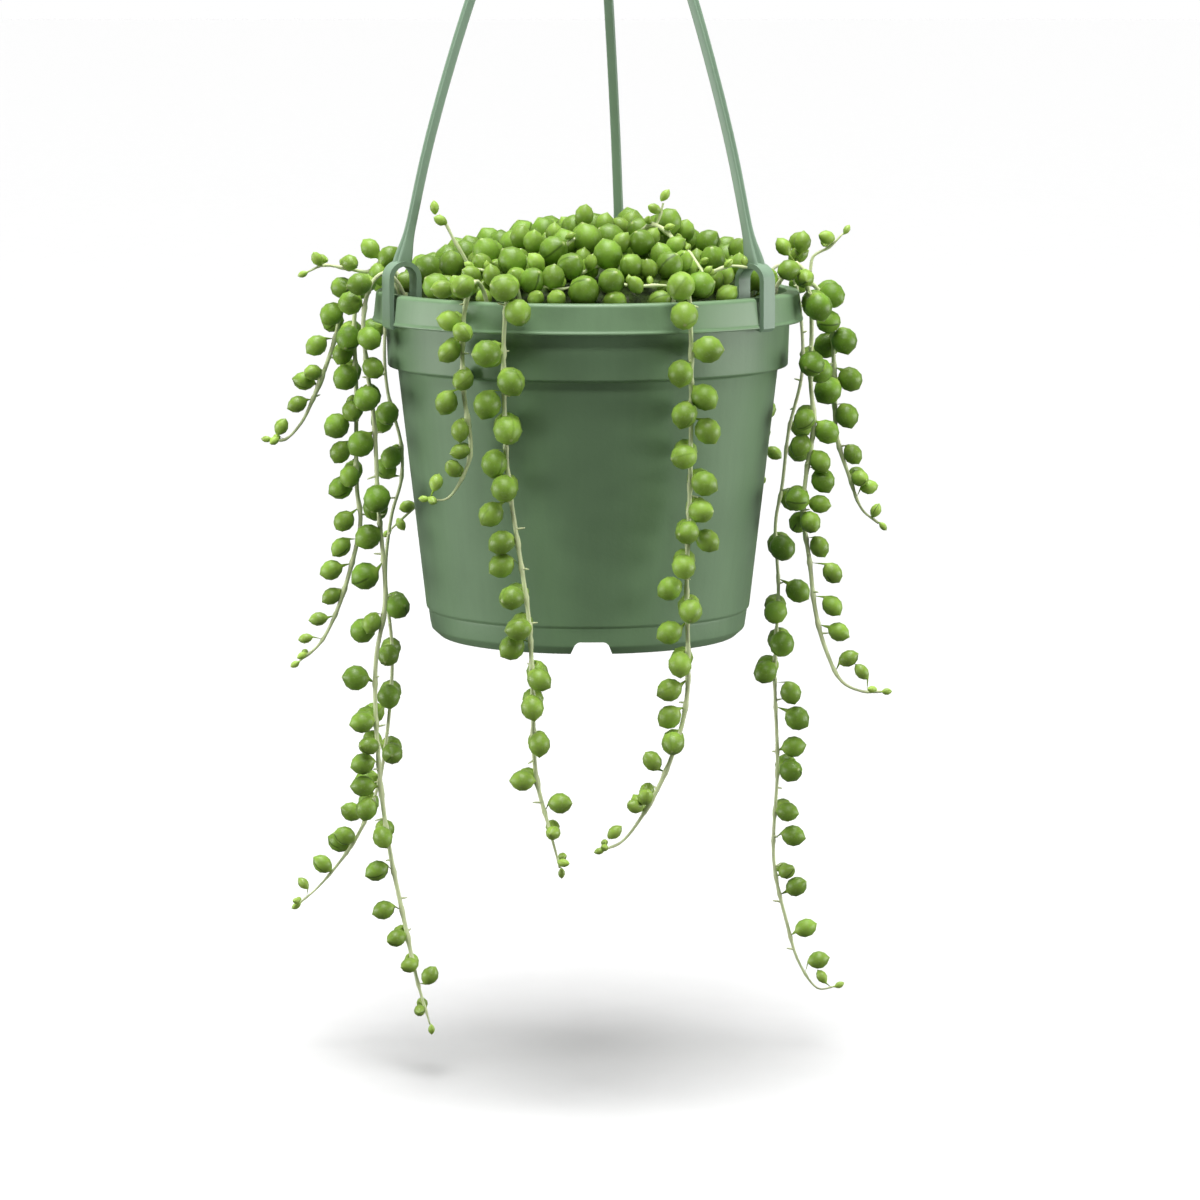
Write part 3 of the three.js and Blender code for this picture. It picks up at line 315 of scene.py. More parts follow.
class Skin:
    """Surfaces gathered for one mesh: corners, faces of four and three corners, and for each corner
    where it lies on its own little shape (grain), how old that shape is and a draw of its own."""

    def __init__(self):
        self.parts = []
        self.count = 0

    def add(self, points, quads, tris, finish=0, grain=0.0, age=0.5, draw=0.5):
        """Points come as one array, and faces count from its first point."""
        quads, tris = np.reshape(quads, (-1, 4)) + self.count, np.reshape(tris, (-1, 3)) + self.count
        grain = np.broadcast_to(grain, points.shape)
        age, draw = (np.broadcast_to(value, len(points)) for value in (age, draw))
        self.parts.append((points, quads, tris, finish, grain, age, draw))
        self.count += len(points)

    def mesh(self, name):
        """The mesh: corners first, then each face's corners end to end, with its finish and attributes."""
        points, quads, tris, finishes, grains, ages, draws = zip(*self.parts)
        mesh = bpy.data.meshes.new(name)
        corners = np.concatenate([np.concatenate([q.ravel(), t.ravel()]) for q, t in zip(quads, tris)])
        sizes = np.concatenate([np.repeat((4, 3), (len(q), len(t))) for q, t in zip(quads, tris)])
        slots = np.concatenate([np.full(len(q) + len(t), f) for q, t, f in zip(quads, tris, finishes)])
        mesh.vertices.add(self.count)
        mesh.vertices.foreach_set("co", np.concatenate(points).ravel())
        mesh.loops.add(len(corners))
        mesh.loops.foreach_set("vertex_index", corners)
        mesh.polygons.add(len(sizes))
        mesh.polygons.foreach_set("loop_start", np.concatenate([[0], np.cumsum(sizes)[:-1]]))
        mesh.polygons.foreach_set("material_index", slots)
        mesh.polygons.foreach_set("use_smooth", np.ones(len(sizes), bool))
        for key, kind, field, values in (
            ("grain", "FLOAT_VECTOR", "vector", grains), ("age", "FLOAT", "value", ages),
            ("draw", "FLOAT", "value", draws),
        ):
            data = mesh.attributes.new(key, kind, "POINT").data
            data.foreach_set(field, np.concatenate(values).ravel())
        mesh.update(calc_edges=True)
        mesh.validate()
        return mesh


def ring_faces(rows, sides):
    """Faces between rows of points that each close on themselves: (row, i), (row, i+1) and the same two
    in the next row. A pole at the start is the point after the rows, and one at the end comes after it."""
    row, side = np.meshgrid(np.arange(rows - 1), np.arange(sides), indexing="ij")
    here, beside = row * sides + side, row * sides + (side + 1) % sides
    quads = np.stack([here, beside, beside + sides, here + sides], -1).reshape(-1, 4)
    i = np.arange(sides)
    start, end, last = rows * sides, rows * sides + 1, (rows - 1) * sides
    low = np.stack([np.full(sides, start), (i + 1) % sides, i], -1)
    high = np.stack([np.full(sides, end), last + i, last + (i + 1) % sides], -1)
    return quads, np.vstack([low, high])


def eased(outline, radius, closed=False):
    """An outline with its corners eased: each corner P between cuts A and B, a radius away along its two
    edges or half an edge if that is less, becomes (1-t)^2 A + 2t(1-t) P + t^2 B. The ends stay."""
    points = np.asarray(outline, float)
    t = np.linspace(0, 1, 4)[None, :, None]

    def cut(shift):
        away = np.roll(points, shift, 0) - points
        size = np.linalg.norm(away, axis=1, keepdims=True)
        return (points + away * np.minimum(radius, 0.49 * size) / size)[:, None]

    curves = (1 - t) ** 2 * cut(1) + 2 * t * (1 - t) * points[:, None] + t**2 * cut(-1)
    if closed:
        return curves.reshape(-1, 2)
    return np.vstack([points[:1], curves[1:-1].reshape(-1, 2), points[-1:]])


def turned(skin, profile, sides):
    """A profile of (radius, height) pairs, from the bottom of the axis round the outside to its top,
    turned about Z: (r cos a, r sin a, z)."""
    inner = profile[1:-1]
    flat = inner[:, None, :1] * circle(1, sides)
    rows = np.concatenate([flat, np.broadcast_to(inner[:, None, 1:], (len(inner), sides, 1))], -1)
    points = np.vstack([rows.reshape(-1, 3), [(0, 0, profile[0, 1]), (0, 0, profile[-1, 1])]])
    skin.add(points, *ring_faces(len(inner), sides))


def swept(skin, path, section, sizes=1.0, across=None, age=0.5, draw=0.5):
    """A closed section of (u, v) pairs carried along a path: P + size (u N + v B). T is the path's
    direction, N is square to T and to a fixed direction, and B is T x N. The fixed direction is the
    one of seven that T stays furthest from, unless it is given."""
    ahead = unit(np.gradient(path, axis=0))
    if across is None:
        choice = unit([(1, 0, 0), (0, 1, 0), (0, 0, 1), (1, 1, 0), (1, -1, 0), (1, 0, 1), (0, 1, 1)])
        across = choice[np.argmin(np.abs(ahead @ choice.T).max(axis=0))]
    normal = unit(np.cross(across, ahead))
    binormal = np.cross(ahead, normal)
    u, v = section[None, :, :1], section[None, :, 1:]
    sizes = np.broadcast_to(sizes, len(path))[:, None, None]
    rows = path[:, None] + sizes * (u * normal[:, None] + v * binormal[:, None])
    points = np.vstack([rows.reshape(-1, 3), path[:1], path[-1:]])
    run = distance_along(path) / MM
    flat = np.broadcast_to(section / np.abs(section).max(), (len(path), *section.shape))
    grain = np.concatenate([flat, np.broadcast_to(run[:, None, None], (*rows.shape[:2], 1))], -1)
    grain = np.vstack([grain.reshape(-1, 3), [(0, 0, 0), (0, 0, run[-1])]])
    age = np.broadcast_to(age, len(path))
    age = np.concatenate([np.repeat(age, len(section)), age[[0, -1]]])
    skin.add(points, *ring_faces(len(path), len(section)), grain=grain, age=age, draw=draw)


PEARL, BED = 1, 2  # numbers of the plant's finishes, after the stem's 0
PEARL_SIDES = 10
# A pearl's rings from its stalk to its tip, as shares of half a turn, and its poles' heights.
PEARL_RINGS = np.array([0.06, 0.22, 0.4, 0.58, 0.76, 0.925])
STALK_POLE, TIP_POLE = -1.1, 1.14
NEW_RADIUS, FULL_RADIUS = 1.2 * MM, 4.0 * MM


def pearls_on(skin, beads):
    """Pearls: at a share f of the way round from the stalk, a ring of radius R sin(pi f)^p stands at
    height -L cos(pi f) from the middle, with p larger on young ones, which are lemons, and the tip's
    pole at 1.14 L. The stalk's pole is the point on the stem, and the tip hangs and turns aside a
    little from the line between that and the middle."""
    base, centre, aside = (np.array([one[key] for one in beads]) for key in ("base", "centre", "aside"))
    radius, age, draw = (np.array([[one[key]] for one in beads]) for key in ("radius", "age", "draw"))
    upward = unit(unit(centre - base) * (1, 0.6, 1) + aside)
    across = np.where(np.abs(upward[:, 2:]) < 0.8, [[0.0, 0.0, 1.0]], [[1.0, 0.0, 0.0]])
    u = unit(np.cross(across, upward))
    v = np.cross(upward, u)
    long = radius * stretch_of(age) ** 0.8
    ring = np.sin(np.pi * PEARL_RINGS)[None] ** (0.93 + 0.4 * (1 - age)) * stretch_of(age) ** -0.2
    ring[:, 0] = 0.17
    height = -np.cos(np.pi * PEARL_RINGS)
    height[0], height[-1] = -1.04, 1.0
    turn = np.linspace(0, 2 * np.pi, PEARL_SIDES, endpoint=False)
    angle = turn + 2 * np.pi * draw
    cos, sin = np.cos(angle)[:, None, :, None], np.sin(angle)[:, None, :, None]
    flat = (radius * ring)[:, :, None, None] * (cos * u[:, None, None] + sin * v[:, None, None])
    rows = centre[:, None, None] + flat + (long * height)[:, :, None, None] * upward[:, None, None]
    tip = centre + TIP_POLE * long * upward
    points = np.concatenate([rows.reshape(len(beads), -1, 3), base[:, None], tip[:, None]], 1)
    count = points.shape[1]
    wide = ring[:, :, None]
    local = np.broadcast_arrays(wide * np.cos(turn), wide * np.sin(turn), height[None, :, None])
    poles = np.broadcast_to([[0, 0, STALK_POLE], [0, 0, TIP_POLE]], (len(beads), 2, 3))
    grain = np.concatenate([np.stack(local, -1).reshape(len(beads), -1, 3), poles], 1)
    quads, tris = ring_faces(len(PEARL_RINGS), PEARL_SIDES)
    shift = (np.arange(len(beads)) * count)[:, None, None]
    points, grain = points.reshape(-1, 3), grain.reshape(-1, 3)
    age, draw = np.repeat(age, count), np.repeat(draw, count)
    skin.add(points, quads + shift, tris + shift, PEARL, grain, age, draw)


def stretch_of(age):
    """How much longer than wide a pearl is: young ones are lemons."""
    return 1 + 0.5 * (1 - age) ** 1.2


def bead(base, centre, radius, draw, hang=0.3, deep=0.5):
    """A pearl's facts. Its age runs from 0 at NEW_RADIUS to 1 at FULL_RADIUS, and its tip turns aside
    by its draw, and down by what it hangs. Deep is painted shade: it is mixed into the draw and pushes the
    pearl's colour towards the old deep green."""
    age = float(np.clip((radius - NEW_RADIUS) / (FULL_RADIUS - NEW_RADIUS), 0, 1))
    aside = np.array([0.5 * np.sin(40 * draw), 0.3 * np.cos(40 * draw), -hang + 0.3 * np.sin(70 * draw)])
    # Painted shade: six tenths of the draw that the pearl skin reads comes from deep, which deepens the
    # green.
    return dict(base=base, centre=centre, radius=radius, age=age, draw=0.6 * deep + 0.4 * draw, aside=aside)


# ---- Where pearls go ----

class Crowd:
    """What a pearl keeps clear of: rounded rods from a to b, with a radius and the piece they belong to,
    and the pot's wall as a profile turned about Z."""

    def __init__(self, wall):
        most = 6000  # rods, of which this plant takes fewer than 1400
        self.wall = wall
        self.a, self.b = np.zeros((most, 3)), np.zeros((most, 3))
        self.radius, self.owner = np.zeros(most), np.empty(most, dtype="U24")
        self.count = 0

    def add(self, owner, points, radius):
        points = np.reshape(points, (-1, 3))
        starts, stops = (points[:-1], points[1:]) if len(points) > 1 else (points, points)
        rows = slice(self.count, self.count + len(starts))
        self.a[rows], self.b[rows], self.radius[rows], self.owner[rows] = starts, stops, radius, owner
        self.count += len(starts)

    def room(self, point, owner, overlap):
        """The largest ball at a point: the least distance to a rod or to the wall. Rods of the same
        piece may be overlapped a little, and its own stem, owner + "/stem", doesn't count."""
        rows = slice(0, self.count)
        owners = self.owner[rows]
        near = segment_distance(point, self.a[rows], self.b[rows]) - self.radius[rows]
        near = np.where(owners == owner, near + overlap, near)[owners != owner + "/stem"]
        flat = np.array([np.hypot(point[0], point[1]), point[2]])
        wall = segment_distance(flat, self.wall[:-1], self.wall[1:]).min()
        return min(near.min(initial=1.0), wall)

    def grown(self, name, stem, base, centre, radius, draws):
        """A pearl on a stem, which takes its place in the crowd. Its colour gets painted shade at the sides
        and behind, a deeper green by 0 up to 30 degrees from the front, and by 1 from 75."""
        self.add(name, centre, radius)
        # Painted shade by bearing: none up to 30 degrees from the front, rising to full from 75 degrees.
        deep = float(np.clip((abs(stem["bearing"]) - 30) / 45, 0, 1))
        return bead(base, centre, radius, draws.next(), deep=deep)


def segment_distance(point, a, b):
    """Distances from a point to segments: to a + t (b - a), with t held between 0 and 1."""
    along = b - a
    t = np.clip(((point - a) * along).sum(-1) / np.maximum((along**2).sum(-1), 1e-12), 0, 1)
    return np.linalg.norm(point - a - t[..., None] * along, axis=-1)


STEM_RADIUS = 0.75 * MM
STALK = 0.8 * MM
LEAST_SHARE = 0.7  # a pearl with less room than this share of its radius is left out
# Along a stem from its root: where it is out of the soil, outside the rim, and where it hangs freely.
OUT_OF_SOIL, OUTSIDE, HANGING = 20 * MM, 32 * MM, 34 * MM


def stem_line(stem):
    """A stem's curve: up out of the soil by the wall, over the rim at its crest, then its route."""
    crest = stem.get("crest", 6)
    rooted = [(56.5, -18), (56.5, -10), (57.7, crest - 5), (62.5, crest), (66.8, crest - 3)]
    outside = over_rim(np.array(stem["route"]) * (1, 1, -1))
    return Line(np.vstack([in_plane(rooted, stem["bearing"]), outside]))


def measured_beads(name, stem, line, crowd):
    """Pearls at their measured places in the front view. Each grows from the stem's nearest point in
    that view, or from the foremost of those almost as near, a little above it, and lies in front of
    it or behind by what is left of its reach, or by up to 3 mm more where that gives it room. Pearls
    under the rim's top grow outside the rim."""
    draws = Draws(int(abs(stem["bearing"]) * 7) + 3)
    found = []
    for x, drop, size in stem["pearls"]:
        fine = line.at(np.linspace(OUTSIDE if drop > 0 else OUT_OF_SOIL, line.length, 400))
        radius = size * MM
        centre = np.array([x * MM, 0, RIM_TOP - drop * MM])
        above = centre + (0, 0, 0.35 * radius)
        off = np.linalg.norm((fine - above)[:, ::2], axis=1)
        near = fine[off < off.min() + 0.7 * MM]
        base = near[np.argmin(near[:, 1])]
        flat = np.hypot(centre[0] - base[0], centre[2] - base[2])
        aside = np.sqrt(max((radius + STEM_RADIUS + STALK) ** 2 - flat**2, 0))
        best = None
        for step in (side * (aside + more * MM) for more in (0, 1.5, 3) for side in (-1, 1)):
            centre[1] = base[1] + step
            room = crowd.room(centre, name, 0.4 * MM)
            if best is None or room > best[0] + 0.2 * MM:
                best = (room, centre.copy())
            if room >= radius:
                break
        if best[0] >= LEAST_SHARE * radius:
            found.append(crowd.grown(name, stem, base, best[1], min(radius, best[0]), draws))
    return found


def hidden_beads(name, stem, beads, crowd):
    """Pearls that the front view hides: one behind every measured pearl that has room there."""
    draws = Draws(len(beads) + 17)
    found = []
    for other in beads:
        ahead = other["centre"] - other["base"]
        centre = other["base"] + ahead * (0.7, -1, 0.9) + (0, 1.5 * MM, 0.8 * MM * draws.spread())
        radius = min(other["radius"] * 0.95, crowd.room(centre, name, 0.3 * MM))
        if radius >= LEAST_SHARE * other["radius"]:
            found.append(crowd.grown(name, stem, other["base"], centre, radius, draws))
    return found


def round_stem(base, radius, bearing, twists):
    """Places for a pearl round a spot on its stem, each a little lower than the spot: on a bearing
    from +X, in degrees, and then at the twists from it, one after the other."""
    for twist in twists:
        angle = np.radians(bearing + twist)
        way = unit([np.cos(angle), np.sin(angle), -0.2])
        yield base + way * (radius + STEM_RADIUS + STALK)


def filling_beads(name, stem, line, beads, shown, crowd):
    """Pearls on bare stretches that the photo hides: one at every 7.5 mm, on the stem's far side, where
    a pearl that shows stands nearer to the photo's camera and hides it, to within 2.6 mm. A shown
    pearl at S covers E + (S - E) k, where E is the camera and k brings it to the new one's depth."""
    draws = Draws(len(beads) + 41)
    taken = np.array([one["base"] for one in beads])
    eye = np.array(CAMERA_PLACE)
    found = []
    for run in np.arange(HANGING, line.length - 25 * MM, 7.5 * MM):
        base = line.point(run)
        ahead = shown[shown[:, 1] < base[1]] - eye
        if np.linalg.norm(taken - base, axis=1).min() < 6.5 * MM:
            continue
        radius = 3.5 * MM * (0.9 + 0.2 * draws.next())
        swing = 90 + 20 * draws.spread()
        for centre in round_stem(base, radius, swing, (0, 25, -25, 50, -50, 75, -75)):
            cast = eye + ahead * ((centre - eye)[1] / ahead[:, 1:2])
            hidden = np.linalg.norm(cast - centre, axis=1).min(initial=1.0) < 2.6 * MM
            if hidden and crowd.room(centre, name, 0.2 * MM) >= radius:
                found.append(crowd.grown(name, stem, base, centre, radius, draws))
                break
    return found


def back_stem(index):
    """A stem behind the pot and its pearls' sides, by the same draws as the solids have."""
    bearing, length = BACK_STEMS[index]
    draws = Draws(60 + index)
    route = []
    for drop in range(7, length + 1, 20):
        out = 69 + 2.5 * draws.next()
        angle = np.radians(bearing + 2.5 * draws.spread())
        route.append((out * np.sin(angle), -out * np.cos(angle), drop))
    last = np.radians(bearing + 6)
    route.append((78 * np.sin(last), -78 * np.cos(last), length + 5))
    return dict(bearing=bearing, age=0.7, route=route, seed=70 + index)


def sided_beads(name, stem, line, crowd):
    """Pearls at even steps down a stem, by turns behind, right and left of it, shrinking to its tip."""
    draws = Draws(stem["seed"])
    count = int(line.length / (7.6 * MM))
    found = []
    for i in range(2, count):
        t = (i + 0.5) / count
        radius = 3.6 * MM * (1 - 0.18 * t - 0.45 * t**6)
        base = line.point(line.length * t)
        bearing = (90, 0, 90, 180, 270)[i % 5] + 25 * draws.spread()
        for centre in round_stem(base, radius, bearing, (0, 40, -40, 80, -80, 120)):
            if crowd.room(centre, name, 0.2 * MM) >= radius:
                found.append(crowd.grown(name, stem, base, centre, radius, draws))
                break
    return found


# ---- The plant, laid out ----

# The crown's radius, and the rise of its pearls' middles at its centre, less the swelling, and at its edge.
CROWN_RADIUS, CROWN_TOP, CROWN_EDGE = 55.3 * MM, 13.5 * MM, 2.5 * MM


def crown_rise(x, y):
    """Height of the crown's pearls over a point in plan: it falls away from the middle with the power
    3 of the distance, and a swelling e^(-d^2) stands on it a little right of the middle."""
    out = np.hypot(x, y) / CROWN_RADIUS
    away = np.hypot(x - 10 * MM, y) / (28 * MM)
    return CROWN_TOP - (CROWN_TOP - CROWN_EDGE) * out**3 + 6.5 * MM * np.exp(-(away**2))


def crown_beads(crowd, full):
    """The measured pearls that face the front, then a row along the rim and a sunflower spiral inside
    it, and then another of each for the gaps, lower down, each where it has room. A pearl grows from
    a spot under it, leaning outwards near the rim."""
    draws = Draws(5)
    found = []

    def grow(x, y, rise, wanted, overlap, least):
        """One pearl, unless it has less room than the least radius."""
        centre = np.array([x, y, RIM_TOP + rise])
        radius = min(wanted, crowd.room(centre, "mound", overlap))
        if radius >= least:
            crowd.add("mound", centre, radius)
            out = np.hypot(x, y) / CROWN_RADIUS
            lean = unit([x, y, 0]) * 1.3 * out**3 + (0.6 * draws.spread(), 0.6 * draws.spread(), 1)
            base = centre - unit(lean) * (radius + 3.2 * MM)
            found.append(bead(base, centre, radius, draws.next(), hang=0.0))

    for x, y, rise, size in np.array(CROWN_FRONT) * MM:
        grow(x, y, rise, size * 1.04, 1.5 * MM, 1.5 * MM)
    # Pearls along the rim or in the spiral, their share of full size, and the least size in mm.
    rows = ((35, 0, 0.98, 3.2), (0, 96, 1.02, 3.2), (35, 0, 0.85, 2.4), (0, 170, 0.8, 2.4))
    for number, (rim, inside, share, least) in enumerate(rows):
        for k in range(rim + inside):
            spiral = (CROWN_RADIUS - 5 * MM) * np.sqrt((k + 0.5) / max(inside, 1))
            out = (CROWN_RADIUS if rim else spiral) + (1.2 * draws.next() - 0.8) * MM
            angle = 2 * np.pi * (k + 0.5 * number) / rim if rim else k * np.pi * (3 - np.sqrt(5)) + number
            x, y = out * np.cos(angle), out * np.sin(angle)
            rise = crown_rise(x, y) + (3.0 * draws.next() - 1.2 - 2.0 * (number > 1)) * MM
            wanted = full * share * (0.9 + 0.14 * draws.next())
            grow(x, y, rise, wanted, 0.5 * MM, least * MM)
    return found


@functools.cache
def plant(full):
    """Where every stem and pearl goes: lines and beads by the piece's name. Stems come first, so that
    pearls keep clear of all of them, then the measured pearls, those behind the pot, and the rest."""
    crowd = Crowd(np.vstack([POT_OUTSIDE, POT_INSIDE]) * MM + (0, RIM_TOP))
    for bearing in CLIP_BEARINGS:
        crowd.add("hanger", in_plane(CLIP_LINE, bearing), 3.1 * MM)
        crowd.add("hanger", in_plane(ARM_LINE[:4], bearing), 2.2 * MM)
    backs = {f"strand_back_{i + 1}": back_stem(i) for i in range(len(BACK_STEMS))}
    stems = {**STEMS, **backs}
    lines = {name: stem_line(stem) for name, stem in stems.items()}
    for name, line in lines.items():
        crowd.add(name + "/stem", line.spaced(int(line.length / (3 * MM))), STEM_RADIUS)
    for points in SPRIGS:
        crowd.add("mound", Line(over_rim(points)).spaced(6), STEM_RADIUS)
    beads = {name: measured_beads(name, stem, lines[name], crowd) for name, stem in STEMS.items()}
    shown = np.array([one["centre"] for found in beads.values() for one in found])
    for name, stem in backs.items():
        beads[name] = sided_beads(name, stem, lines[name], crowd)
    for name, stem in STEMS.items():
        beads[name] += hidden_beads(name, stem, beads[name], crowd)
        beads[name] += filling_beads(name, stem, lines[name], beads[name], shown, crowd)
    beads["mound"] = crown_beads(crowd, full)
    return lines, beads, stems


# ---- Materials ----

class Tree:
    """A node tree under construction: made(kind, ...) adds a node, sets its fields and feeds its inputs,
    each with a value or another node's output."""

    def __init__(self, tree):
        self.tree = tree
        tree.nodes.clear()

    def made(self, kind, inputs=(), **fields):
        node = self.tree.nodes.new(kind)
        for key, value in fields.items():
            setattr(node, key, value)
        for key, value in dict(inputs).items():
            if isinstance(value, bpy.types.NodeSocket):
                self.tree.links.new(value, node.inputs[key])
            else:
                node.inputs[key].default_value = value
        return node

    def math(self, operation, a, b=0.0, c=0.0, clamp=False):
        feeds = {0: a, 1: b, 2: c}
        return self.made("ShaderNodeMath", feeds, operation=operation, use_clamp=clamp).outputs[0]

    def mix(self, factor, a, b):
        return self.made("ShaderNodeMix", {0: factor, 6: a, 7: b}, data_type="RGBA").outputs[2]

    def span(self, value, low, high, to_low=0.0, to_high=1.0):
        """A value from low..high carried smoothly to to_low..to_high, and held there outside."""
        names = ("Value", "From Min", "From Max", "To Min", "To Max")
        feeds = dict(zip(names, (value, low, high, to_low, to_high)))
        return self.made("ShaderNodeMapRange", feeds, interpolation_type="SMOOTHSTEP").outputs[0]

    def noise(self, vector, scale, detail=3.0, roughness=0.5):
        feeds = {"Vector": vector, "Scale": scale, "Detail": detail, "Roughness": roughness}
        return self.made("ShaderNodeTexNoise", feeds).outputs["Fac"]

    def cells(self, vector, scale):
        return self.made("ShaderNodeTexVoronoi", {"Vector": vector, "Scale": scale}).outputs["Distance"]

    def field(self, name, output="Fac"):
        return self.made("ShaderNodeAttribute", attribute_name=name).outputs[output]

    def place(self):
        return self.made("ShaderNodeTexCoord").outputs["Object"]

    def scaled(self, vector, *scale):
        return self.made("ShaderNodeMapping", {"Vector": vector, "Scale": scale}).outputs[0]

    def bump(self, height, strength, distance):
        feeds = {"Height": height, "Strength": strength, "Distance": distance}
        return self.made("ShaderNodeBump", feeds).outputs[0]

    def seen(self):
        """1 where the camera looks at the surface, and 0 for the light that it throws on other things."""
        return self.made("ShaderNodeLightPath").outputs["Is Camera Ray"]


def skin_group(name, build, *more):
    """A finish that several materials use, as a node group built once: build(tree, inputs) gives its
    colour, roughness and height from a place, a deep and a pale colour, and what more it takes."""
    group = bpy.data.node_groups.get(name)
    if group is None:
        group = bpy.data.node_groups.new(name, "ShaderNodeTree")
        takes = (("Vector", "Vector"), ("Deep", "Color"), ("Pale", "Color"), *more)
        gives = (("Colour", "Color"), ("Rough", "Float"), ("Height", "Float"))
        for way, sockets in (("INPUT", takes), ("OUTPUT", gives)):
            for label, kind in sockets:
                group.interface.new_socket(name=label, in_out=way, socket_type="NodeSocket" + kind)
        tree = Tree(group)
        inside = tree.made("NodeGroupInput")
        tree.made("NodeGroupOutput", dict(enumerate(build(tree, inside.outputs))))
    return group


def moulding(tree, given):
    """Moulded plastic: cloudy mottle, fine vertical draw marks and a very fine orange-peel."""
    place = given["Vector"]
    cloud = tree.noise(place, 28.0, 4.0)
    fine = tree.noise(place, 900.0, 2.0)
    draw = tree.noise(tree.scaled(place, 420, 420, 9), 1.0, 3.0)
    tone = tree.math("ADD", tree.math("MULTIPLY", cloud, 0.75), tree.math("MULTIPLY", draw, 0.25))
    colour = tree.mix(tree.span(tone, 0.35, 0.65), given["Deep"], given["Pale"])
    rough = tree.math("MULTIPLY_ADD", tree.span(cloud, 0.3, 0.7), 0.08, given["Roughness"])
    height = tree.math("ADD", tree.math("MULTIPLY", fine, 0.6), tree.math("MULTIPLY", draw, 0.25))
    return colour, rough, height


def surface(name, finish, *given):
    """A material: finish(tree, ...) gives the Principled shader's inputs."""
    material = bpy.data.materials.new(name)
    material.use_nodes = True
    tree = Tree(material.node_tree)
    shader = tree.made("ShaderNodeBsdfPrincipled", finish(tree, *given))
    tree.made("ShaderNodeOutputMaterial", {"Surface": shader.outputs[0]})
    return material


def shade(colour, factor):
    """A colour property as a socket value, lightened or darkened by a factor."""
    return (*(np.array(colour[:3]) * factor), 1.0)


def plastic(tree, colour, roughness):
    """Coloured plastic with the moulding's marks."""
    group = skin_group("Moulded surface", moulding, ("Roughness", "Float"))
    feeds = {"Vector": tree.place(), "Deep": shade(colour, 0.94), "Pale": shade(colour, 1.05),
             "Roughness": roughness}
    tone, rough, height = tree.made("ShaderNodeGroup", feeds, node_tree=group).outputs
    return {"Base Color": tone, "Roughness": rough, "IOR": 1.46, "Specular IOR Level": 0.5,
            "Normal": tree.bump(height, 0.12, 0.0004)}


def waxy(tree, given):
    """A succulent's skin: blotches, freckles and a fine wax bloom that lies in patches."""
    place = given["Vector"]
    blotch = tree.span(tree.noise(place, 90.0, 3.0), 0.35, 0.7)
    freckle = tree.span(tree.noise(place, 1400.0, 2.0), 0.52, 0.75)
    colour = tree.mix(blotch, given["Deep"], given["Pale"])
    colour = tree.mix(tree.math("MULTIPLY", freckle, 0.25), colour, given["Bloom"])
    return colour, tree.math("MULTIPLY_ADD", blotch, 0.1, tree.math("MULTIPLY", freckle, 0.1)), freckle


def leaf_skin(tree, looks):
    """Pearl skin: yellow-green when young and deep green when old, each pearl a little different, paler
    at the stalk, with a dark translucent slit down one side and a small dry point at the tip. The draw
    attribute also carries painted shade, so pearls at the sides and behind are painted a deeper green
    with stronger slits."""
    age, draw = tree.field("age"), tree.field("draw")
    x, y, z = tree.made("ShaderNodeSeparateXYZ", {0: tree.field("grain", "Vector")}).outputs
    # Painted shade: the draw holds each pearl's shade amount, which pushes pearls at the sides and behind
    # towards the old deep green.
    ripe = tree.math("MULTIPLY", age, tree.math("MULTIPLY_ADD", draw, 0.45, 0.6), clamp=True)
    feeds = {"Vector": tree.place(), "Bloom": shade(looks.bloom_colour, 1)}
    for key, young, old in (("Deep", 0.72, 0.75), ("Pale", 1.1, 1.25)):
        feeds[key] = tree.mix(ripe, shade(looks.young_colour, young), shade(looks.old_colour, old))
    group = skin_group("Waxy skin", waxy, ("Bloom", "Color"))
    colour, rough, height = tree.made("ShaderNodeGroup", feeds, node_tree=group).outputs
    near = tree.span(tree.math("ABSOLUTE", y), 0.03, 0.11, 1.0, 0.0)
    side = tree.math("MULTIPLY", tree.span(x, 0.05, 0.3), tree.span(z, -0.55, -0.1))
    # The slit is painted darker on pearls with more painted shade in their draw.
    slit = tree.math("MULTIPLY", tree.math("MULTIPLY", near, side), tree.span(draw, 0.25, 0.6, 0.25, 0.8))
    colour = tree.mix(slit, colour, shade(looks.old_colour, 0.3))
    colour = tree.mix(tree.span(z, -0.6, -1.0, 0.0, 0.5), colour, shade(looks.young_colour, 1.2))
    colour = tree.mix(tree.span(z, 1.04, 1.12, 0.0, 0.7), colour, shade(looks.tip_colour, 1))
    return {"Base Color": colour, "Roughness": tree.math("ADD", rough, 0.35), "IOR": 1.42,
            "Specular IOR Level": 0.45, "Subsurface Weight": 0.18, "Subsurface Radius": (0.6, 1.0, 0.25),
            "Subsurface Scale": 0.0016, "Coat Weight": 0.07, "Coat Roughness": 0.32,
            "Normal": tree.bump(height, 0.15, 0.0002)}


def stem_skin(tree, looks):
    """Stem skin: brownish grey near the pot and on old stems, yellow-green towards the tip, with fine
    furrows along it."""
    furrow = tree.noise(tree.scaled(tree.field("grain", "Vector"), 3, 3, 0.15), 1.0)
    fleck = tree.math("MULTIPLY_ADD", tree.noise(tree.place(), 500.0), 0.4, -0.2)
    ripe = tree.math("ADD", tree.span(tree.field("age"), 0.65, 1.05), fleck, clamp=True)
    colour = tree.mix(ripe, shade(looks.shoot_colour, 1), shade(looks.stem_colour, 1))
    colour = tree.mix(tree.span(furrow, 0.5, 0.75, 0.0, 0.3), colour, shade(looks.stem_colour, 0.7))
    return {"Base Color": colour, "Roughness": 0.55, "Subsurface Weight": 0.1,
            "Subsurface Radius": (0.6, 1.0, 0.3), "Subsurface Scale": 0.001,
            "Normal": tree.bump(furrow, 0.3, 0.0003)}


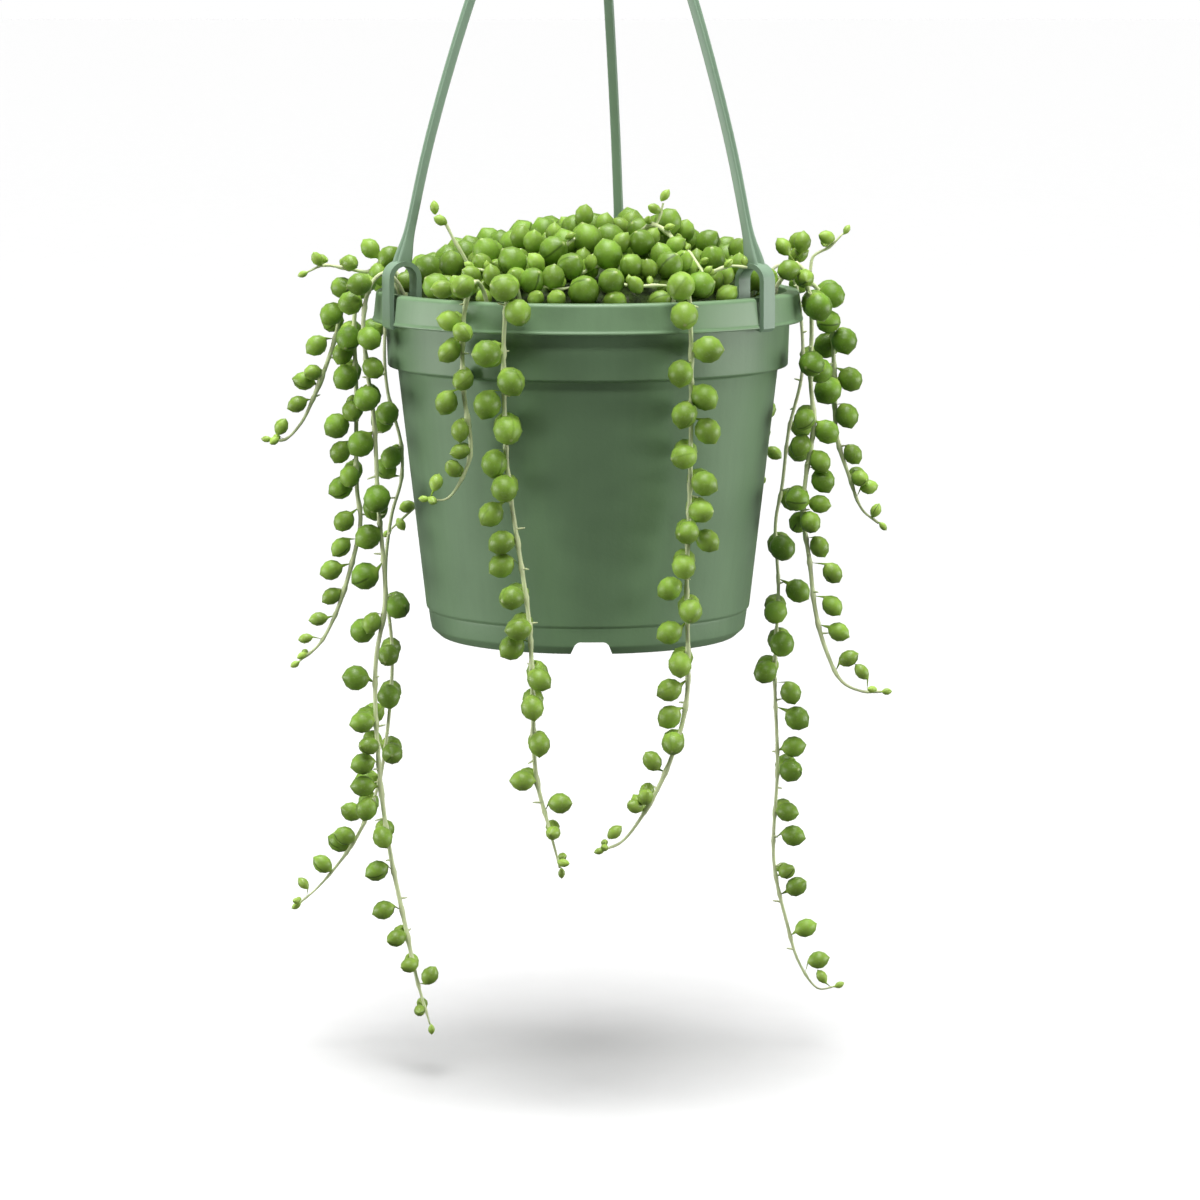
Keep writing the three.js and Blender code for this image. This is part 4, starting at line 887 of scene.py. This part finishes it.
def bed_skin(tree, looks):
    """What shows between the crown's pearls: old leaves and roots, their colours darkened to nearly
    black in the gaps as painted shade.
    """
    place = tree.place()
    clump = tree.noise(place, 220.0, 4.0, 0.6)
    fibre = tree.noise(tree.scaled(place, 500, 160, 300), 1.0)
    # Painted shade: the old green at 0.12 and 0.4 of its strength, and dimmed stem fibres, stand for the
    # shade between the pearls.
    dark, pale = shade(looks.old_colour, 0.12), shade(looks.old_colour, 0.4)
    colour = tree.mix(tree.span(clump, 0.4, 0.65), dark, pale)
    colour = tree.mix(tree.span(fibre, 0.58, 0.7, 0.0, 0.6), colour, shade(looks.stem_colour, 0.3))
    return {"Base Color": colour, "Roughness": 0.8, "Normal": tree.bump(clump, 0.8, 0.002)}


def peat(tree):
    """Potting mix: dark crumbs of two sizes, pale fibres and a few light grains."""
    place = tree.place()
    crumbs, grains = tree.cells(place, 420.0), tree.cells(place, 130.0)
    coarse = tree.noise(place, 150.0, 5.0, 0.65)
    colour = tree.mix(tree.span(coarse, 0.35, 0.65), (0.012, 0.008, 0.005, 1), (0.06, 0.038, 0.022, 1))
    colour = tree.mix(tree.span(crumbs, 0.5, 0.8, 0.0, 0.6), colour, (0.13, 0.085, 0.05, 1))
    colour = tree.mix(tree.span(grains, 0.06, 0.1, 0.9, 0.0), colour, (0.5, 0.47, 0.42, 1))
    height = tree.math("ADD", coarse, crumbs)
    return {"Base Color": colour, "Roughness": 0.92, "Normal": tree.bump(height, 1.0, 0.002)}


# ---- Pieces ----

def placed(name, data, location=(0, 0, 0), rotation=(0, 0, 0)):
    """A mesh, a light or a camera as an object in the scene."""
    made = bpy.data.objects.new(name, data)
    made.location, made.rotation_euler = location, rotation
    bpy.context.scene.collection.objects.link(made)
    return made


def piece(name, skin, materials, nodes):
    """A finished piece that stands for some solids and moves with them."""
    made = placed(name, skin.mesh(name))
    for material in materials:
        made.data.materials.append(material)
    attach(made, "root")
    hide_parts(*nodes)
    return made


def prism(skin, outline, thickness, bearing):
    """A flat outline of (radius, rise) pairs, in metres, made thick along the tangent of a bearing: its
    two faces are cut into triangles, and a wall of quads joins them."""
    out, tangent = frame_of(bearing)
    flat = outline[:, :1] * out + (outline[:, 1:] + RIM_TOP) * np.array([0, 0, 1])
    points = np.vstack([flat - tangent * thickness / 2, flat + tangent * thickness / 2])
    count = len(outline)
    i = np.arange(count)
    walls = np.stack([i, (i + 1) % count, (i + 1) % count + count, i + count], -1)
    x, z = outline.T
    walls = walls if (x * np.roll(z, -1) - z * np.roll(x, -1)).sum() > 0 else walls[:, ::-1]
    faces = np.array(tessellate_polygon([[(x, z, 0.0) for x, z in outline]]))
    a, b, c = outline[faces].swapaxes(0, 1)
    faces = np.where(np.cross(b - a, c - a)[:, None] > 0, faces, faces[:, ::-1])
    skin.add(points, walls, np.vstack([faces, faces[:, ::-1] + count]))


def cut_away(made, cutters):
    """The object with the cutters' solids taken out of it. The cutters are then removed."""
    tool = placed("cutters", cutters.mesh("cutters"))
    change = made.modifiers.new("cuts", "BOOLEAN")
    change.object, change.solver = tool, "EXACT"
    shaped = bpy.data.meshes.new_from_object(made.evaluated_get(bpy.context.evaluated_depsgraph_get()))
    made.modifiers.remove(change)
    made.data = shaped
    bpy.data.objects.remove(tool)


def pot_cuts(looks):
    """The gaps in the skirt round the clips, the drain holes and the notches in the foot."""
    cutters = Skin()
    notch = np.array([(62.2, -10), (67, -10), (67, 1), (62.2, 1)]) * MM
    for bearing in CLIP_BEARINGS:
        prism(cutters, notch, looks.notch_width, bearing)
    hole, hole_ring, floor = 3 * MM, 26 * MM, RIM_TOP - 99.4 * MM
    for k in range(6):
        middle = hole_ring * frame_of(60 * k + 30)[0] + (0, 0, floor)
        swept(cutters, np.array([middle - (0, 0, hole), middle + (0, 0, hole)]), circle(hole, 24))
    half = np.array([(1.5, 7), (0, 6.2), (-1.6, 5.6), (-3.1, 5.0), (-3.8, 4.2), (-4, 3.4)]) * MM
    section = np.vstack([half, half[::-1] * (1, -1)])
    for k in range(4):
        out, tangent = frame_of(1.5 + 90 * k)
        path = np.array([out * 38 * MM, out * 50 * MM]) + (0, 0, RIM_TOP - 105 * MM)
        swept(cutters, path, section, across=tangent)
    return cutters


def make_pot(looks):
    """The pot: its wall turned with eased corners, the ribs that the clips catch on, and its cuts."""
    bottom = [(0, -100.0), (42.7, -100.0)]
    profile = np.vstack([bottom, POT_OUTSIDE, POT_INSIDE, [(0, -98.8)]]) * MM + (0, RIM_TOP)
    skin = Skin()
    turned(skin, eased(profile, 0.5 * MM), looks.sides)
    rib = np.array([(60.7, -7.4), (63.2, -7.4), (63.2, -6.7), (60.7, -6.0)]) * MM
    for bearing in CLIP_BEARINGS:
        prism(skin, rib, 5 * MM, bearing)
    finish = surface("sage pot plastic", plastic, looks.colour, 0.36)
    made = piece("pot_shell", skin, [finish], ["pot"])
    cut_away(made, pot_cuts(looks))
    made.data.set_sharp_from_angle(angle=np.radians(38))


def clip_outline():
    """A strap bent over the rim: its toe, outer leg, arch and inner leg, which leans out to the wall."""
    t = np.radians(np.linspace(0, 180, 13))
    arch = np.stack([np.cos(t), np.sin(t)], -1)
    middle = np.array([60.65, 5.05])
    toe = [(61.8, -7.7), (61.8, -8.9), (64.8, -10), (65.8, -9)]
    inner = [(55.5, -1), (57.7, -8), (59.2, -8.5), (57, -1.4)]
    return np.vstack([toe, middle + 5.15 * arch, inner, middle + 3.65 * arch[::-1], [(64.3, -7.7)]]) * MM


def grooved(wide, deep):
    """An arm's section, outer face first: rounded corners and a groove down the outer face."""
    w, d = wide / 2, deep / 2
    half = [(-d, w), (d, w), (d, 0.45 * w), (0.35 * d, 0.2 * w)]
    outline = [(-d, -w), *half, *[(u, -v) for u, v in half[:0:-1]]]
    return eased(np.array(outline)[::-1], 0.45 * MM, closed=True)


def make_hanger(looks):
    """The hanger: three clips, the arms that flare out of their arches by 0.85 e^(-(s / 6.5 mm)^2) at a
    distance s along them, the hub and the plain hook."""
    skin = Skin()
    for bearing in CLIP_BEARINGS:
        prism(skin, clip_outline(), looks.clip_width, bearing)
        line = Line(in_plane(ARM_LINE, bearing))
        run = np.concatenate([np.linspace(0, 14 * MM, 15), np.linspace(17 * MM, line.length, 60)])
        flare = 1 + 0.85 * np.exp(-((run / (6.5 * MM)) ** 2))
        section = grooved(looks.arm_width, 2.4 * MM)
        swept(skin, line.at(run), section, flare, across=frame_of(bearing)[1])
    hub = np.array([(0, 165), (4.5, 165), (5.5, 166.5), (5.5, 169), (4.5, 171), (2.8, 173), (0, 173)])
    turned(skin, eased(hub * MM, 0.6 * MM) + (0, RIM_TOP), 48)
    bend = np.radians(-90 + np.linspace(0, 290, 30))
    hook = 12 * MM  # from the middle of the hook's bend to the middle of its bar
    middle = looks.bar_radius - hook
    arc = np.stack([hook * np.cos(bend), 0 * bend, middle + hook * np.sin(bend)], -1)
    path = Line(np.vstack([(0, 0, RIM_TOP + 170 * MM), arc])).spaced(110)
    rounded = np.minimum(1, 0.55 + np.arange(110)[::-1] * 0.25)
    swept(skin, path, circle(looks.bar_radius, 20), rounded, across=(0, 1, 0))
    finish = surface("sage hanger plastic", plastic, looks.colour, 0.4)
    made = piece("clip_hanger", skin, [finish], ["hanger"])
    made.data.set_sharp_from_angle(angle=np.radians(45))
    edges = made.modifiers.new("edges", "BEVEL")
    edges.width, edges.segments, edges.harden_normals = 0.3 * MM, 2, True
    edges.limit_method, edges.angle_limit = "ANGLE", np.radians(60)


def grow_stem(skin, line, nodes, radius, age):
    """A stem: a round shoot that swells by 0.45 e^(-(s / 1.1 mm)^2) at a distance s from each node and
    narrows over its last 25 mm. It gets younger with the square of the way along it."""
    run = np.linspace(0, line.length, int(line.length / (1.4 * MM)))
    swell = 1 + 0.45 * np.exp(-(((run[:, None] - nodes[None]) / (1.1 * MM)) ** 2)).sum(1).clip(0, 1)
    narrow = 0.45 + 0.55 * np.clip((line.length - run) / (25 * MM), 0, 1)
    ages = np.clip(age - 0.8 * (run / line.length) ** 2, 0, 1)
    swept(skin, line.at(run), circle(radius, 8), swell * narrow, age=ages)


def grow_stubs(skin, line, radius, seed):
    """Short air roots and bare leaf scars along the stem, on every side."""
    draws = Draws(seed)
    for start in np.arange(HANGING, line.length - 20 * MM, 13 * MM):
        at = line.point(start + 5 * MM * draws.next())
        angle = 2 * np.pi * draws.next()
        way = unit([np.cos(angle), np.sin(angle), 0.3 * draws.spread()])
        reach = (1.2 + 1.4 * draws.next()) * MM + radius
        path = at + np.linspace(0, 1, 4)[:, None] * way * reach
        swept(skin, path, circle(0.32 * MM, 5), [1.3, 1, 0.9, 0.5], draw=draws.next())


def make_strand(name, looks, skins):
    """One trailing stem with its pearls and the lemon-shaped bud at its tip."""
    lines, beads, stems = plant(looks.pearl_radius)
    line, stem = lines[name], stems[name]
    skin = Skin()
    fine = line.spaced(600)
    nearest = [np.argmin(((fine - one["base"]) ** 2).sum(1)) for one in beads[name]]
    radius = looks.stem_radius * (0.8 if stem["age"] > 0.8 else 1.0)
    grow_stem(skin, line, np.array(nearest) / (len(fine) - 1) * line.length, radius, stem["age"])
    grow_stubs(skin, line, radius, int(abs(stem["bearing"])) + 5)
    end, way = line.tip()
    bud = bead(end - way * 0.8 * MM, end + way * 1.6 * MM, 1.15 * MM, 0.3)
    pearls_on(skin, beads[name] + [bud])
    piece(name + "_grown", skin, skins, [name])


def crown_bed(skin):
    """The crown's bed under its pearls, dark with painted shade: the crown's height less 4.6 mm, turned
    about Z, with an upright side and a small ripple sin(0.9 r) cos(7 a), with r in millimetres."""
    out = (np.concatenate([np.full(2, 51.0), np.linspace(50.5, 2, 24)]) * MM)[:, None]
    angle = np.linspace(0, 2 * np.pi, 72, endpoint=False)
    x, y = out * np.cos(angle), out * np.sin(angle)
    ripple = 0.7 * MM * np.sin(900 * out) * np.cos(7 * angle)
    z = RIM_TOP + crown_rise(x, y) - 4.6 * MM + ripple
    floor = RIM_TOP - 11.7 * MM
    z[0], z[1] = floor, RIM_TOP - 3 * MM
    points = np.vstack([np.stack([x, y, z], -1).reshape(-1, 3), [(0, 0, floor), (0, 0, z[-1].mean())]])
    skin.add(points, *ring_faces(len(out), len(angle)), finish=BED)


def make_crown(looks, skins):
    """The crown that fills the pot's mouth: its bed, its pearls, the small stems that lie on it and the
    two sprigs that stand up out of it."""
    skin = Skin()
    crown_bed(skin)
    pearls_on(skin, plant(looks.pearl_radius)[1]["mound"])
    leaves = []
    draws = Draws(31)
    for points in RUNNERS:
        line = Line(over_rim(points))
        nodes = np.arange(4 * MM, line.length, 6 * MM)
        grow_stem(skin, line, nodes, 0.75 * MM, 0.35)
        for at in line.at(nodes):
            way = unit([draws.spread(), draws.spread(), 0.9])
            leaves.append(bead(at, at + way * 2.2 * MM, 1.2 * MM, draws.next()))
    for points in SPRIGS:
        line = Line(over_rim(points))
        grow_stem(skin, line, np.array([line.length * 0.5, line.length * 0.8]), 0.7 * MM, 0.2)
        end, way = line.tip()
        leaves.append(bead(end, end + way * 2.4 * MM, 1.5 * MM, 0.2))
        side = line.point(line.length * 0.8)
        leaves.append(bead(side, side + unit([-1, -0.4, 0.9]) * 2.6 * MM, 1.7 * MM, 0.4))
    pearls_on(skin, leaves)
    piece("mound_grown", skin, skins, ["mound"])


# ---- The stage ----

def paper(tree, colour):
    """White paper that the camera sees, which throws little light back up at the pieces."""
    speck = tree.noise(tree.place(), 60.0, 4.0)
    tone = tree.mix(tree.span(speck, 0.3, 0.7), shade(colour, 0.985), shade(colour, 1.0))
    tone = tree.mix(tree.seen(), shade(colour, 0.1), tone)
    return {"Base Color": tone, "Roughness": 0.85, "Normal": tree.bump(speck, 0.02, 0.001)}


def make_floor(looks):
    """A wide pale floor under the hanging pot."""
    far, near, height = 30.0, -6.0, looks.floor_height
    corners = [(-far, near, height), (far, near, height), (far, far, height), (-far, far, height)]
    mesh = bpy.data.meshes.new("floor")
    mesh.from_pydata(corners, [], [(0, 1, 2, 3)])
    mesh.materials.append(surface("pale studio floor", paper, looks.floor_colour))
    made = placed("studio_floor", mesh)


# Soft lights, as name, place, width, height and watts, and suns overhead, as tilt from upright in
# degrees and strength.
SOFTBOXES = (
    ("left softbox", (-1.0, -0.15, -0.27), 0.9, 0.45, 8.4),
    ("right softbox", (1.0, -0.1, -0.27), 0.9, 0.45, 8.0),
    ("front strip", (0, -1.2, 1.0), 1.3, 0.3, 11.5),
)
SUNS = ((-12, 1.5), (10, 3.4))
MIDDLE = Vector((0, 0, -0.25))  # what the soft lights look at


def make_world(behind, before):
    """A white room: the camera sees plain white. The pieces get a fill that is full from behind and
    falls to less on the camera's side, which darkens the middle of the pot."""
    world = bpy.data.worlds.new("studio")
    world.use_nodes = True
    tree = Tree(world.node_tree)
    way = tree.made("ShaderNodeTexCoord").outputs["Generated"]
    depth = tree.made("ShaderNodeSeparateXYZ", {0: way}).outputs[1]
    around = tree.span(depth, -0.75, 0.45, before, behind)
    strength = tree.made("ShaderNodeMix", {0: tree.seen(), 2: around, 3: 1.0}).outputs[0]
    light = tree.made("ShaderNodeBackground", {"Color": (1, 1, 1, 1), "Strength": strength})
    tree.made("ShaderNodeOutputWorld", {"Surface": light.outputs[0]})
    bpy.context.scene.world = world


def make_stage(looks):
    """Floor, soft lights at both sides, in front and overhead, and the camera of the photo."""
    make_floor(looks)
    for name, place, wide, high, watts in SOFTBOXES:
        lamp = bpy.data.lights.new(name, "AREA")
        lamp.shape, lamp.size, lamp.size_y = "RECTANGLE", wide, high
        lamp.energy = watts * looks.light_power
        placed(name, lamp, place, (MIDDLE - Vector(place)).to_track_quat("-Z", "Y").to_euler())
    for tilt, strength in SUNS:
        lamp = bpy.data.lights.new("overhead light", "SUN")
        lamp.energy, lamp.angle = strength * looks.light_power, np.radians(38)
        placed("overhead light", lamp, rotation=(np.radians(tilt), 0, 0))
    make_world(looks.fill, looks.shade)
    lens = bpy.data.cameras.new("front view")
    lens.lens, lens.sensor_width, lens.clip_start = LENS, SENSOR, 0.05
    camera = placed("front view", lens, CAMERA_PLACE, (np.pi / 2 - CAMERA_TILT, 0, 0))
    bpy.context.scene.camera = camera
    bpy.context.scene.view_settings.view_transform = "Standard"


# ---- Settings, operators and panel ----

def length(name, description, default, least=0.0):
    return FloatProperty(name=name, description=description, default=default, min=least, max=1.0,
                         precision=5, unit="LENGTH", subtype="DISTANCE")


def factor(name, description, default):
    return FloatProperty(name=name, description=description, default=default, min=0.0, subtype="FACTOR")


def tint(name, description, default):
    return FloatVectorProperty(name=name, description=description, default=default, min=0.0, max=1.0,
                               size=3, subtype="COLOR")


class PotLooks(bpy.types.PropertyGroup):
    """Sizes and colour of the pot."""

    sides: IntProperty(name="Sides", description="Facets round the pot", default=144, min=24, max=360)
    notch_width: length("Rim notch", "Gap in the skirt round each clip", 0.008)
    colour: tint("Colour", "Sage green of the pot", (0.17, 0.28, 0.15))


class HangerLooks(bpy.types.PropertyGroup):
    """Sizes and colour of the hanger."""

    clip_width: length("Clip width", "Width of a clip's strap", 0.006)
    arm_width: length("Arm width", "Width of an arm", 0.0028)
    bar_radius: length("Hook bar", "Radius of the hook's bar", 0.0022)
    colour: tint("Colour", "Sage green of the hanger", (0.215, 0.32, 0.22))


class PlantLooks(bpy.types.PropertyGroup):
    """Sizes and colours of the plant."""

    pearl_radius: length("Pearl radius", "Radius of a full-grown crown pearl", 0.0042)
    stem_radius: length("Stem radius", "Radius of a trailing stem", 0.00064)
    young_colour: tint("Young pearls", "Yellow-green of the young leaves", (0.36, 0.53, 0.09))
    old_colour: tint("Old pearls", "Deep green of the grown leaves", (0.16, 0.305, 0.027))
    bloom_colour: tint("Bloom", "Pale wax on the leaves", (0.34, 0.45, 0.2))
    tip_colour: tint("Tips", "Dry point of a leaf", (0.5, 0.56, 0.26))
    shoot_colour: tint("Shoots", "Yellow-green of young stems", (0.62, 0.70, 0.38))
    stem_colour: tint("Stems", "Brownish grey of old stems", (0.50, 0.47, 0.36))


class StageLooks(bpy.types.PropertyGroup):
    """The floor and the lights."""

    floor_height: length("Floor height", "Height of the floor, from the hook down", -0.443, least=-1.0)
    floor_colour: tint("Floor", "Colour of the floor", (0.61, 0.61, 0.61))
    light_power: factor("Light", "Strength of all lights", 1.0)
    fill: factor("Fill", "Strength of the room's light from behind", 0.24)
    shade: factor("Shade", "The same from the camera's side", 0.03)


def plant_skins(looks):
    """The plant's finishes, made once, in the order of their numbers: stem, pearl and bed."""
    finishes = (("stem skin", stem_skin), ("pearl skin", leaf_skin), ("crown bed", bed_skin))
    made = bpy.data.materials
    return [made.get(name) or surface(name, finish, looks) for name, finish in finishes]


class PEARLS_OT_pot(bpy.types.Operator):
    """Make the pot"""

    bl_idname = "pearls.pot"
    bl_label = "Pot"

    def execute(self, context):
        make_pot(context.scene.pot_looks)
        return {"FINISHED"}


class PEARLS_OT_hanger(bpy.types.Operator):
    """Make the clip-on hanger with its hook"""

    bl_idname = "pearls.hanger"
    bl_label = "Hanger"

    def execute(self, context):
        make_hanger(context.scene.hanger_looks)
        return {"FINISHED"}


class PEARLS_OT_soil(bpy.types.Operator):
    """Dress the potting mix that fills the pot"""

    bl_idname = "pearls.soil"
    bl_label = "Potting mix"

    def execute(self, context):
        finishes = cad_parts["soil"].data.materials
        finishes.clear()
        finishes.append(surface("crumbly potting mix", peat))
        return {"FINISHED"}


class PEARLS_OT_strands(bpy.types.Operator):
    """Grow the trailing stems with their pearls"""

    bl_idname = "pearls.strands"
    bl_label = "Trailing stems"

    def execute(self, context):
        looks = context.scene.plant_looks
        for name in plant(looks.pearl_radius)[0]:
            make_strand(name, looks, plant_skins(looks))
        return {"FINISHED"}


class PEARLS_OT_crown(bpy.types.Operator):
    """Grow the crown of pearls that fills the pot's mouth"""

    bl_idname = "pearls.crown"
    bl_label = "Crown"

    def execute(self, context):
        looks = context.scene.plant_looks
        make_crown(looks, plant_skins(looks))
        return {"FINISHED"}


class PEARLS_OT_stage(bpy.types.Operator):
    """Set up the floor, the soft lights and the camera"""

    bl_idname = "pearls.stage"
    bl_label = "Stage"

    def execute(self, context):
        make_stage(context.scene.stage_looks)
        return {"FINISHED"}


class PEARLS_PT_panel(bpy.types.Panel):
    """Lists the pieces"""

    bl_idname = "PEARLS_PT_panel"
    bl_label = "String of pearls"
    bl_space_type = "VIEW_3D"
    bl_region_type = "UI"
    bl_category = "String of pearls"

    def draw(self, context):
        for name, kind in LOOKS.items():
            box = self.layout.box()
            for key in kind.__annotations__:
                box.prop(getattr(context.scene, name), key)
        for operator in OPERATORS:
            self.layout.operator(operator.bl_idname)


LOOKS = {
    "pot_looks": PotLooks, "hanger_looks": HangerLooks, "plant_looks": PlantLooks,
    "stage_looks": StageLooks,
}
OPERATORS = (
    PEARLS_OT_pot, PEARLS_OT_hanger, PEARLS_OT_soil, PEARLS_OT_strands, PEARLS_OT_crown, PEARLS_OT_stage,
)


def register():
    for kind in (*LOOKS.values(), *OPERATORS, PEARLS_PT_panel):
        bpy.utils.register_class(kind)
    for name, kind in LOOKS.items():
        setattr(bpy.types.Scene, name, PointerProperty(type=kind))


def unregister():
    for name in LOOKS:
        delattr(bpy.types.Scene, name)
    for kind in (PEARLS_PT_panel, *reversed(OPERATORS), *LOOKS.values()):
        bpy.utils.unregister_class(kind)


def main():
    """Make everything in order."""
    register()
    bpy.ops.pearls.pot()
    bpy.ops.pearls.hanger()
    bpy.ops.pearls.soil()
    bpy.ops.pearls.strands()
    bpy.ops.pearls.crown()
    bpy.ops.pearls.stage()


if __name__ == "__main__":
    main()
